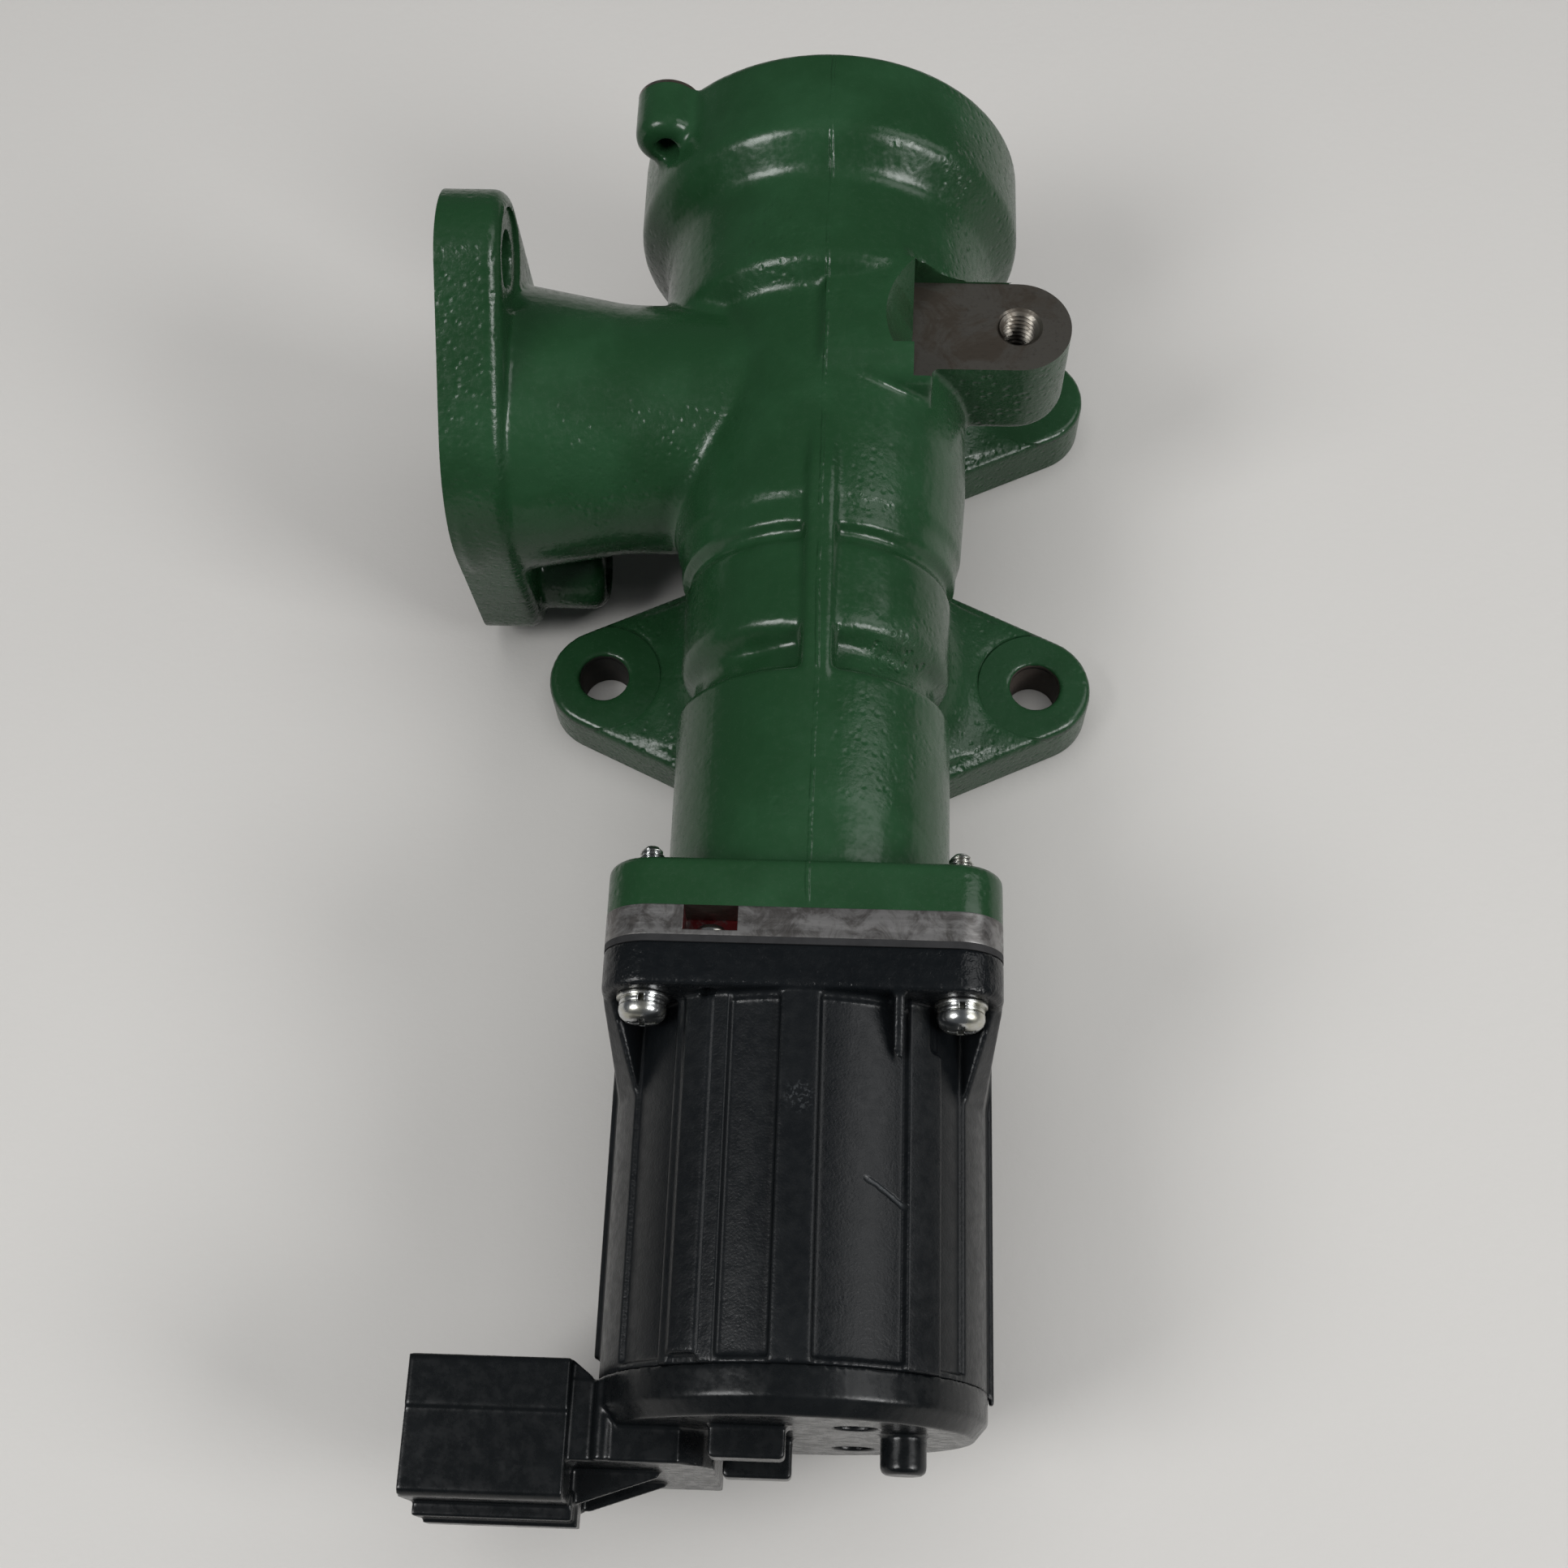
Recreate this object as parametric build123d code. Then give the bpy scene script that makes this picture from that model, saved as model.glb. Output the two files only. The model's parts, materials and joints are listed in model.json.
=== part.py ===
"""Motor-driven exhaust gas recirculation valve, built as its separate pieces.

Frame: +Z is up from the mounting face, +Y runs along the valve axis from the motor to the open bell,
and the gas inlet branch points to -X. The origin is the centre of the four mounting holes, on the
mounting face. All sizes are in millimetres.
"""
from build123d import *
import math
import os

# ------------------------------------------------------------------ driving sizes: layout
axis_height = 49.0             # valve and motor axis above the mounting face
flange_joint_y = -115.0        # machined face of the body's square flange

# driving sizes: clearances
running_fit = 0.05             # radial gap of a shaft in its bore
seat_fit = 0.02                # radial gap that stands for a press or a thread
contact_gap = 0.05             # gap left where two faces only touch
slip_fit = 0.15                # radial gap of parts that drop into place

# driving sizes: mounting feet
foot_spacing_x = 93.0
foot_spacing_y = 74.0
foot_hole_radius = 5.25
foot_ear_radius = 12.0
foot_thickness = 12.0
foot_edge_radius = 1.2
foot_web_inset = 2.4
foot_web_drop = 1.5            # outer edge of the web below the foot's top
ear_pad_margin = 0.4
foot_disc_radius = 32.0
leg_radius = 24.5
leg_spread = 1.5
leg_foot_rise = 2.5
leg_flare_radius = 15.0
port_radius = 14.5
far_port_top_radius = 10.8
far_port_top_shift = 5.0

# driving sizes: body along the valve axis (distances along +Y, radii from the axis)
sleeve_radius = 26.2
sleeve_end_y = -65.7
pocket_radius = 22.8
waist_start_y = -56.5
waist_radius = 26.2
groove_start_y = -39.2
groove_end_y = -35.7
groove_depth = 1.0
ring_band_radius = 27.1
ring_band_end_y = -30.5
barrel_radius = 29.2
neck_start_y = 16.5
neck_radius = 33.6
bell_start_y = 40.5
bell_radius = 40.2
bell_end_y = 65.5
spine_width = 6.0
spine_height = 1.6
spine_end_y = -13.0
spine_root = 15.0
spine_x = 0.6
spine_edge_radius = 1.6
casting_fillet = 3.0
boss_fillet = 2.0
flange_edge_radius = 1.5
pocket_slope = 1.4
waist_slope = 2.6
groove_slope = 0.6
band_slope = 1.2
barrel_swell_y = -14.0
neck_slope = 4.0
bell_slope = 6.5
skin_swell = 0.4               # draft of the neck towards the bell

# driving sizes: gas passages
near_chamber_start_y = -55.0
near_chamber_radius = 20.0
middle_chamber_radius = 23.0
far_shoulder_y = 18.5
far_shoulder_radius = 18.5
far_chamber_radius = 26.0
socket_radius = 32.0
socket_depth = 12.0
socket_chamfer = 1.5
socket_runout = 5.0             # cutter travel past the bell end, through the foot's leg
near_seat_y = -22.0            # near face of the near seat ring
seat_ring_length = 6.0
near_seat_radius = 14.0
near_ring_radius = 17.5
far_seat_y = 22.0
far_ring_length = 7.0
far_seat_radius = 16.5
far_ring_radius = 20.5
seat_chamfer = 1.5

# driving sizes: guide web and spring pocket inside the sleeve
web_near_y = -86.0
spring_pocket_radius = 21.5
bushing_radius = 8.0
bushing_length = 26.0
seal_radius = 9.0
seal_length = 4.5

# driving sizes: inlet branch
branch_y = 1.5
branch_radius = 25.3
branch_root_radius = 28.8
branch_taper_start = 40.0      # distance out from the valve axis
inlet_face_x = -73.5
inlet_flange_thickness = 12.5
inlet_bore_radius = 20.0
inlet_throat_radius = 17.0
inlet_bore_length = 34.0
inlet_throat_x = -27.0
inlet_disc_radius = 31.0
inlet_ear_radius = 13.2
inlet_pitch = 74.6
inlet_tilt = 22.7              # degrees of the bolt line from +Z towards +Y
inlet_centre_y = 2.3
inlet_rise = 1.0               # inlet centre above the valve axis
inlet_hole_radius = 5.5
inlet_edge_radius = 3.0
inlet_boss_radius = 9.0
inlet_boss_reach = 15.5
inlet_boss_edge_radius = 3.5
branch_taper_radius = 40.0
branch_root_length = 12.0
spot_face_radius = 10.0
spot_face_depth = 0.8

# driving sizes: bracket lug and pad
lug_x = 38.8
lug_y = 13.6
lug_radius = 10.4
lug_height = 21.0              # pad above the valve axis
lug_thickness = 21.0
lug_edge_radius = 2.0
lug_hole_radius = 3.4
lug_hole_depth = 16.0
lug_chamfer = 0.9
pad_start_x = 17.6
block_left_x = -0.6
block_width = 22.0
block_near_y = -4.5
block_height = 30.0            # top of the block above the valve axis
block_edge_radius = 5.0
relief_radius = 12.5
relief_slope = 0.55
relief_shift = 4.0
relief_overlap = 0.15
relief_side = 0.6
cutter_room = 20.0

# driving sizes: bell bosses
boss_angle = 143.5
boss_centre_radius = 41.8
boss_radius = 6.6
boss_near_y = 54.0
boss_stand = 0.8
boss_hole_radius = 2.5
boss_hole_depth = 15.0
boss_edge_radius = 3.0

# driving sizes: square joint between body and motor
joint_margin = 1.4             # square flanges beyond the motor housing
joint_corner_radius = 8.5
body_flange_thickness = 9.0
plate_thickness = 5.3
gasket_thickness = 1.2
motor_flange_thickness = 7.5
screw_edge = 7.25              # screw axes inside the flange's sides
screw_radius = 2.5
screw_clearance_radius = 2.75
notch_x = -15.6
notch_width = 9.2
notch_drop = 7.5
notch_depth = 4.4

# driving sizes: fasteners
head_radius = 4.5
head_height = 3.0
screw_tip_reach = 5.0
spring_washer_thickness = 1.0
spring_washer_radius = 4.35
flat_washer_thickness = 0.8
flat_washer_radius = 5.0
plate_screw_radius = 1.5
plate_screw_head_radius = 2.9
plate_screw_head_height = 1.9
plate_screw_length = 8.0

# driving sizes: motor housing
housing_radius = 32.6
housing_end_y = -189.0
housing_wall = 2.0
front_wall_thickness = 12.5
panel_depth = 0.7
land_height = 0.8
ledge_height = 0.7             # wide ledge above the lands
ledge_overhang = 1.4           # ledge past the lands' ends
panel_margin = 1.0
side_fin_width = 1.6
side_fin_height = 1.2
side_fin_overhang = 1.5
side_fin_stop = 4.0
gusset_length = 14.5
flute_depth = 0.9
flute_edge_angle = 31.6        # degrees of the flute's outer edge from the X axis
centre_land = (84.2, 95.8)     # degrees from the X axis, as the others below
left_land = (111.0, 116.0)
ledge = (116.0, 125.0)
outer_land = (125.0, 129.0)
right_land = (44.5, 57.0)
web_angle = 59.0
web_thickness = 1.8
web_edge = 0.6
gusset_tip_height = 23.0
gusset_brow_height = 25.2
gusset_root = 4.5
screw_pocket_margin = 0.3
screw_pocket_depth = 8.0

# driving sizes: motor end cap and connector
cap_rim_length = 4.8
cap_length = 7.5
cap_overhang = 0.1             # rim of the cap beyond the housing
cap_face_slope = 2.3
cap_spigot_length = 3.0
cap_hole_radius = 3.6
cap_hole_depth = 2.0
cap_hole_x = 10.5
cap_hole_heights = (15.5, -16.5)
post_radius = 3.8
post_length = 6.2
post_x = 18.5
post_height = 7.5
upper_tab_reach = 5.1
upper_tab_height = 11.0        # lower side of the tab above the motor axis
lower_tab_reach = 6.6
lower_tab_height = -6.5
arm_reach = 3.6                # left side of the arm beyond the housing
arm_width = 23.7
arm_stand = 5.7                # upper edge of the arm nearer than the cap's face
arm_rise = 11.0                # top of the arm above the motor axis
arm_height = 40.5
arm_draft = 1.1                # extra reach of the arm's lower edge towards -Y
shroud_stand = 12.1            # near side of the shroud nearer than the cap's face
shroud_width = 22.3
shroud_length = 26.8
shroud_rise = 11.5             # top of the shroud above the motor axis
shroud_height = 33.0
shroud_wall = 2.2
shroud_depth = 18.0
rib_thickness = 1.2
terminal_width = 1.5
terminal_thickness = 0.8
terminal_root = 4.0            # blade's inner end inside the arm
terminal_recess = 6.0          # blade's tip inside the shroud's mouth
terminal_pitch_y = 3.0
terminal_pitch_z = 7.0

# driving sizes: rotor, screw and stator
lead_screw_radius = 4.0
lead_screw_flat = 3.2
lead_screw_rest = 5.0          # rear end of the screw inside the housing's end
journal_radius = 6.0
hub_radius = 9.0
magnet_radius = 14.2
stator_bore_radius = 14.8
stator_length = 21.0
yoke_wall = 2.4
yoke_plate = 1.6
claw_count = 6
claw_thickness = 1.3
bearing_radius = 14.0
bearing_width = 8.0
bearing_race_wall = 2.2
ball_radius = 1.9
ball_count = 9

# driving sizes: valve train
stem_radius = 4.0
shoulder_radius = 5.5
spigot_radius = 3.5
poppet_lip = 1.9
poppet_rim = 2.2
poppet_back = 3.0
nut_width = 10.0
nut_length = 5.0
retainer_radius = 17.0
retainer_thickness = 2.5
retainer_hub_wall = 4.5
retainer_hub_length = 3.0
keeper_wall = 2.0
keeper_length = 2.4
keeper_taper = 0.6
keeper_slit = 0.4
keeper_clearance = 0.12
keeper_groove_inset = 0.3
keeper_groove_length = 1.9
keeper_groove_radius = 3.0
spring_wire_radius = 1.2
spring_radius = 14.0
spring_turns = 4.5

# ------------------------------------------------------------------ sizes that follow
plate_y = flange_joint_y - plate_thickness
gasket_y = plate_y - gasket_thickness
motor_flange_y = gasket_y - motor_flange_thickness
joint_width = 2 * (housing_radius + joint_margin)
screw_offset = joint_width / 2 - screw_edge
groove_radius = waist_radius - groove_depth
housing_bore_radius = housing_radius - housing_wall
cap_radius = housing_radius + cap_overhang
cap_face_radius = cap_radius - cap_face_slope
corner_signs = [(-1, -1), (-1, 1), (1, -1), (1, 1)]
near_foot_y = -foot_spacing_y / 2
far_foot_y = foot_spacing_y / 2
near_ring_end_y = near_seat_y + seat_ring_length
far_ring_end_y = far_seat_y + far_ring_length
cap_face_y = housing_end_y - cap_length
arm_left_x = -housing_radius - arm_reach
arm_right_x = arm_left_x + arm_width
arm_near_y = cap_face_y - arm_stand
arm_top_z = axis_height + arm_rise
shroud_near_y = cap_face_y - shroud_stand
shroud_top_z = axis_height + shroud_rise
lug_top_z = axis_height + lug_height
block_top_z = axis_height + block_height
inlet_centre_z = axis_height + inlet_rise
lead_screw_rear_y = housing_end_y + lead_screw_rest
front_wall_y = gasket_y - front_wall_thickness
bushing_near_y = near_chamber_start_y - bushing_length
seal_near_y = bushing_near_y - seal_length
stem_tip_y = flange_joint_y + 3.3
spring_start_y = web_near_y
retainer_y = stem_tip_y + 1.2

VALVE_AXIS = Axis((0, 0, axis_height), (0, 1, 0))
# local x runs along +Y and local y is the height above the valve axis
VALVE_PLANE = Plane(origin=(0, 0, axis_height), x_dir=(0, 1, 0), z_dir=(1, 0, 0))
# local x runs along -X, out along the branch, and local y is the height above its axis
BRANCH_PLANE = Plane(origin=(0, branch_y, axis_height), x_dir=(-1, 0, 0), z_dir=(0, 1, 0))
BRANCH_AXIS = Axis((0, branch_y, axis_height), (-1, 0, 0))
INLET_PLANE = Plane(origin=(0, inlet_centre_y, inlet_centre_z), x_dir=(-1, 0, 0), z_dir=(0, 1, 0))
INLET_AXIS = Axis((0, inlet_centre_y, inlet_centre_z), (-1, 0, 0))
UP_FROM_BASE = (Align.CENTER, Align.CENTER, Align.MIN)


# ------------------------------------------------------------------ modelling helpers
def turned(plane, axis, corners):
    """Turn a closed outline of (along, radius, corner rounding) about an axis in its plane."""
    points = [corner[:2] for corner in corners]
    roundings = [corner[2] if len(corner) > 2 else 0 for corner in corners]
    outline = FilletPolyline(*points, radius=roundings, close=True)
    return revolve(plane * make_face(outline), axis)


def valve_turned(*corners):
    """Turn an outline about the valve axis."""
    return turned(VALVE_PLANE, VALVE_AXIS, corners)


def rod(radius, start, end, x=0.0, z=0.0):
    """Cylinder along Y between two Y values, at an offset from the valve axis."""
    place = Pos(x, start, axis_height + z) * Rot(-90, 0, 0)
    return place * Cylinder(radius, end - start, align=UP_FROM_BASE)


def tube(outer, inner, start, end):
    """Ring about the valve axis."""
    return rod(outer, start, end) - rod(inner, start - 1, end + 1)


def upright(radius, bottom, top, x=0.0, y=0.0):
    """Vertical cylinder."""
    return Pos(x, y, bottom) * Cylinder(radius, top - bottom, align=UP_FROM_BASE)


def block(x_range, y_range, z_range):
    """Box between three pairs of limits."""
    size = [high - low for low, high in (x_range, y_range, z_range)]
    middle = [(high + low) / 2 for low, high in (x_range, y_range, z_range)]
    return Pos(*middle) * Box(*size)


def across(sketch, start, end):
    """Extrude a sketch of (X, height above the axis) along Y between two Y values."""
    plane = Plane(origin=(0, end, axis_height), x_dir=(1, 0, 0), z_dir=(0, -1, 0))
    return extrude(plane * sketch, amount=end - start)


def polar(radius, degrees):
    """X and height above the axis of a point at an angle from +X."""
    return radius * math.cos(math.radians(degrees)), radius * math.sin(math.radians(degrees))


def joint_square(start, end):
    """Rounded square of the body-to-motor joint."""
    return across(RectangleRounded(joint_width, joint_width, joint_corner_radius), start, end)


def at_screws(piece):
    """Copies of a piece on the four motor screw axes."""
    return [Pos(sx * screw_offset, 0, sz * screw_offset) * piece for sx, sz in corner_signs]


def blended(base, piece, radius):
    """Two joined pieces with the edges between them filleted."""
    joined = base + piece
    return fillet(new_edges(base, piece, combined=joined), radius)


def hull_of(*circles):
    """Outline of a belt round circles given as (x, y, radius)."""
    edges = ShapeList()
    for x, y, radius in circles:
        edges += (Pos(x, y) * Circle(radius)).edges()
    return make_hull(edges)


# ------------------------------------------------------------------ valve body
def barrel():
    """Outer skin along the valve axis: sleeve, pocket, waist, groove, barrel, neck and bell."""
    inside = flange_joint_y + 2
    return valve_turned(
        (inside, 0), (inside, sleeve_radius),
        (sleeve_end_y, sleeve_radius, 0.6), (sleeve_end_y + pocket_slope, pocket_radius, 1.6),
        (waist_start_y - waist_slope, pocket_radius, 2.0), (waist_start_y, waist_radius, 3.0),
        (groove_start_y, waist_radius, 0.5), (groove_start_y + groove_slope, groove_radius, 0.5),
        (groove_end_y - groove_slope, groove_radius, 0.5), (groove_end_y, ring_band_radius, 0.6),
        (ring_band_end_y, ring_band_radius + 0.3, 0.6),
        (ring_band_end_y + band_slope, barrel_radius - 1.0, 1.0),
        (barrel_swell_y, barrel_radius, 20), (neck_start_y, barrel_radius, 3.0),
        (neck_start_y + neck_slope, neck_radius, 3.5), (bell_start_y, neck_radius + skin_swell, 5.0),
        (bell_start_y + bell_slope, bell_radius, 4.5), (bell_end_y, bell_radius, 0.8), (bell_end_y, 0))


def foot(y):
    """Lozenge foot with two ears, and the flared leg that joins it to the barrel."""
    half = foot_spacing_x / 2
    outline = hull_of((-half, 0, foot_ear_radius), (0, 0, foot_disc_radius), (half, 0, foot_ear_radius))
    plate = extrude(outline, amount=foot_thickness)
    plate = fillet(plate.edges().group_by(Axis.Z)[-1], foot_edge_radius)
    web_ear_radius = foot_ear_radius - foot_web_inset
    web_outline = hull_of((-half, 0, web_ear_radius), (0, 0, foot_disc_radius - foot_web_inset),
                          (half, 0, web_ear_radius))
    flare_edge = half + foot_ear_radius
    flare = turned(Plane.XZ, Axis.Z, [
        (0, 0), (flare_edge, 0), (flare_edge, foot_thickness - foot_web_drop),
        (leg_radius + leg_spread, foot_thickness + leg_foot_rise, leg_flare_radius),
        (leg_radius, axis_height), (0, axis_height)])
    web = flare & extrude(web_outline, amount=axis_height)
    for side in (-1, 1):
        web -= upright(foot_ear_radius + ear_pad_margin, foot_thickness, axis_height, x=side * half)
    return Pos(0, y, 0) * (plate + web)


def branch_outline():
    """Tilted two-ear outline of the inlet flange, in the branch plane's cross-section."""
    reach_y = inlet_pitch / 2 * math.sin(math.radians(inlet_tilt))
    reach_z = inlet_pitch / 2 * math.cos(math.radians(inlet_tilt))
    return hull_of((-reach_y, -reach_z, inlet_ear_radius), (0, 0, inlet_disc_radius),
                   (reach_y, reach_z, inlet_ear_radius))


def inlet_plane(x):
    """Plane across the branch, with local x along +Y, local y up and its normal along +X."""
    return Plane(origin=(x, inlet_centre_y, inlet_centre_z), x_dir=(0, 1, 0), z_dir=(1, 0, 0))


def inlet_ear(sign):
    """Offset of an inlet ear from the branch axis, as (along Y, along Z)."""
    tilt = math.radians(inlet_tilt)
    return sign * inlet_pitch / 2 * math.sin(tilt), sign * inlet_pitch / 2 * math.cos(tilt)


def branch_pipe():
    """Inlet pipe, swelling towards its flange."""
    outer_end = -inlet_face_x - 2
    return turned(BRANCH_PLANE, BRANCH_AXIS, [
        (0, 0), (0, branch_radius), (branch_taper_start, branch_radius, branch_taper_radius),
        (outer_end - branch_root_length, branch_root_radius),
        (outer_end, branch_root_radius + 2), (outer_end, 0)])


def inlet_flange():
    """Two-ear flange of the branch with the long boss of the lower ear."""
    flange = extrude(inlet_plane(inlet_face_x) * branch_outline(), amount=inlet_flange_thickness)
    flange = fillet(flange.edges().group_by(Axis.X)[-1], inlet_edge_radius)
    ear_y, ear_z = inlet_ear(-1)
    boss_plane = inlet_plane(inlet_face_x + inlet_flange_thickness - 1)
    boss = extrude(boss_plane * (Pos(ear_y, ear_z) * Circle(inlet_boss_radius)), amount=inlet_boss_reach)
    return flange + fillet(boss.edges().group_by(Axis.X)[-1], inlet_boss_edge_radius)


def bracket_lug():
    """Lug with a flat pad, the cast block beside it and the cutter relief between them."""
    bottom = lug_top_z - lug_thickness
    lug = upright(lug_radius, bottom, lug_top_z, lug_x, lug_y)
    lug += block((0, lug_x), (lug_y - lug_radius, lug_y + lug_radius), (bottom, lug_top_z))
    lug = fillet(lug.edges().group_by(Axis.Z)[0], lug_edge_radius)
    far_y = neck_start_y + neck_slope
    block_right_x = block_left_x + block_width
    raised = block((block_left_x, block_right_x), (block_near_y, far_y), (axis_height, block_top_z))
    near_edges = raised.edges().filter_by(Axis.X).group_by(Axis.Y)[0]
    return lug + fillet(near_edges.group_by(Axis.Z)[-1], block_edge_radius)


def pad_cut():
    """Space above the machined pad, with the sloped relief that the cutter leaves in the block."""
    above = (lug_top_z, lug_top_z + cutter_room)
    outside = lug_x + 2 * lug_radius
    wide_radius = relief_radius + relief_slope * cutter_room
    relief = Pos(pad_start_x + relief_radius - relief_overlap, lug_y - relief_shift, lug_top_z)
    cone = relief * Cone(relief_radius, wide_radius, cutter_room, align=UP_FROM_BASE)
    limit = block((0, outside), (lug_y - lug_radius - relief_side, lug_y + lug_radius), above)
    over_pad = block((pad_start_x, outside), (lug_y - lug_radius, lug_y + lug_radius), above)
    return (cone & limit) + over_pad


def spine():
    """Rib along the top of the waist that bridges the pocket and the groove."""
    top = [(sleeve_end_y - 4, sleeve_radius - 0.2), (sleeve_end_y + 1, sleeve_radius + 0.7),
           (groove_start_y, waist_radius + spine_height), (spine_end_y - 12, barrel_radius + 0.6),
           (spine_end_y, barrel_radius - 0.1)]
    side = Polyline((sleeve_end_y - 4, spine_root), *top, (spine_end_y, spine_root), close=True)
    rib = extrude(VALVE_PLANE * make_face(side), amount=spine_width / 2, both=True)
    side_edges = [edge for edge in rib.edges() if abs(abs(edge.center().X) - spine_width / 2) < 0.01]
    top_edges = [edge for edge in side_edges if edge.center().Z > axis_height + waist_radius - 1]
    rib = fillet(top_edges, spine_edge_radius)
    return Pos(spine_x, 0, 0) * rib


def bell_bosses():
    """Two tapped bosses on the bell, opposite each other."""
    bosses = Part()
    for angle in (boss_angle, boss_angle - 180):
        x, z = polar(boss_centre_radius, angle)
        boss = rod(boss_radius, boss_near_y, bell_end_y + boss_stand, x, z)
        bosses += fillet(boss.edges().group_by(Axis.Y)[0], boss_edge_radius)
    return bosses


def gas_passages():
    """Chambers, seat bores and ports inside the body."""
    inner = valve_turned(
        (near_chamber_start_y, 0), (near_chamber_start_y, near_chamber_radius, 3),
        (near_seat_y, near_chamber_radius), (near_seat_y, near_ring_radius + seat_fit),
        (near_ring_end_y, near_ring_radius + seat_fit), (near_ring_end_y, middle_chamber_radius, 2),
        (far_shoulder_y, middle_chamber_radius, 2), (far_shoulder_y, far_shoulder_radius),
        (far_seat_y, far_shoulder_radius), (far_seat_y, far_ring_radius + seat_fit),
        (far_ring_end_y, far_ring_radius + seat_fit), (far_ring_end_y, far_chamber_radius, 2),
        (bell_end_y - socket_depth, far_chamber_radius), (bell_end_y - socket_depth, socket_radius),
        (bell_end_y - socket_chamfer, socket_radius), (bell_end_y, socket_radius + socket_chamfer),
        (bell_end_y + socket_runout, socket_radius + socket_chamfer), (bell_end_y + socket_runout, 0))
    inner += upright(port_radius, -1, axis_height - 5, y=near_foot_y)
    top_z = axis_height - far_chamber_radius + 6
    far_port = Plane.XY.offset(-1) * Pos(0, far_foot_y) * Circle(port_radius)
    far_top = Plane.XY.offset(top_z) * Pos(0, far_foot_y + far_port_top_shift) * Circle(far_port_top_radius)
    return inner + loft([far_port, far_top])


def inlet_passage():
    """Bore of the branch, wide at the flange and narrower at the middle chamber."""
    mouth = -inlet_face_x
    return turned(INLET_PLANE, INLET_AXIS, [
        (5, 0), (5, inlet_throat_radius), (-inlet_throat_x, inlet_throat_radius),
        (mouth - inlet_bore_length, inlet_bore_radius), (mouth + 1, inlet_bore_radius), (mouth + 1, 0)])


def guide_bores():
    """Spring pocket, seal seat and bushing seat inside the sleeve."""
    return valve_turned(
        (flange_joint_y - 1, 0), (flange_joint_y - 1, spring_pocket_radius),
        (web_near_y, spring_pocket_radius, 1.5), (web_near_y, seal_radius + seat_fit),
        (bushing_near_y, seal_radius + seat_fit), (bushing_near_y, bushing_radius + seat_fit),
        (near_chamber_start_y + 1, bushing_radius + seat_fit), (near_chamber_start_y + 1, 0))


def body_holes():
    """Mounting, inlet, screw and tapped holes of the body."""
    holes = []
    for sx, sy in corner_signs:
        holes.append(upright(foot_hole_radius, -1, foot_thickness + 1,
                             sx * foot_spacing_x / 2, sy * foot_spacing_y / 2))
    for sign in (-1, 1):
        ear_y, ear_z = inlet_ear(sign)
        face = inlet_plane(inlet_face_x - 1) * (Pos(ear_y, ear_z) * Circle(inlet_hole_radius))
        holes.append(extrude(face, amount=inlet_flange_thickness + inlet_boss_reach + 2))
    upper_y, upper_z = inlet_ear(1)
    spot_plane = inlet_plane(inlet_face_x + inlet_flange_thickness - spot_face_depth)
    holes.append(extrude(spot_plane * (Pos(upper_y, upper_z) * Circle(spot_face_radius)), amount=4))
    flange_end_y = flange_joint_y + body_flange_thickness
    holes += at_screws(rod(screw_radius + seat_fit, flange_joint_y - 1, flange_end_y + 1))
    for angle in (boss_angle, boss_angle - 180):
        x, z = polar(boss_centre_radius, angle)
        end = bell_end_y + boss_stand
        holes.append(rod(boss_hole_radius, end - boss_hole_depth, end + 1, x, z))
    holes.append(upright(lug_hole_radius, lug_top_z - lug_hole_depth, lug_top_z + 1, lug_x, lug_y))
    mouth_depth = lug_chamfer + 0.1
    mouth = Cone(lug_hole_radius, lug_hole_radius + mouth_depth, mouth_depth, align=UP_FROM_BASE)
    holes.append(Pos(lug_x, lug_y, lug_top_z - lug_chamfer) * mouth)
    return holes


def valve_body():
    """The one iron casting that carries everything."""
    flange = joint_square(flange_joint_y, flange_joint_y + body_flange_thickness)
    flange = fillet(flange.edges().group_by(Axis.Y)[-1], flange_edge_radius)
    body = blended(barrel(), flange, casting_fillet)
    body = blended(body, branch_pipe(), casting_fillet)
    body = blended(body, bell_bosses(), boss_fillet)
    body += inlet_flange()
    body += foot(near_foot_y) + foot(far_foot_y)
    body += spine() + bracket_lug()
    body -= pad_cut()
    body -= gas_passages()
    body -= inlet_passage()
    body -= guide_bores()
    for hole in body_holes():
        body -= hole
    return body


# ------------------------------------------------------------------ seats and guide
def seat_ring(start, length, inner, outer):
    """Pressed-in ring with a 45 degree seat on its far edge."""
    return valve_turned((start, inner), (start, outer), (start + length, outer),
                        (start + length, inner + seat_chamfer), (start + length - seat_chamfer, inner))


def stem_bushing():
    """Bronze guide of the valve stem."""
    bore = stem_radius + running_fit
    end = near_chamber_start_y - 0.5
    return valve_turned((bushing_near_y, bore), (bushing_near_y, bushing_radius), (end, bushing_radius, 0.4),
                        (end, bore))


def stem_seal():
    """Lip seal between the hot gas and the spring pocket."""
    lip = 1.2
    return valve_turned(
        (seal_near_y + contact_gap, seal_radius), (bushing_near_y - contact_gap, seal_radius),
        (bushing_near_y - contact_gap, stem_radius + running_fit),
        (bushing_near_y - contact_gap - lip, stem_radius + running_fit),
        (bushing_near_y - contact_gap - lip, seal_radius - 2.0, 0.6),
        (seal_near_y + contact_gap, seal_radius - 2.0))


def return_spring():
    """Closed-state coil spring between the guide web and the retainer."""
    free_length = spring_start_y - retainer_y - retainer_thickness
    rise = free_length - 2 * (spring_wire_radius + contact_gap)
    helix = Helix(rise / spring_turns, rise, spring_radius)
    path = Pos(0, spring_start_y - spring_wire_radius - contact_gap, axis_height) * Rot(90, 0, 0) * helix
    section = Plane(origin=path @ 0, z_dir=path % 0) * Circle(spring_wire_radius)
    return sweep(section, path=path, is_frenet=True)


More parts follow.
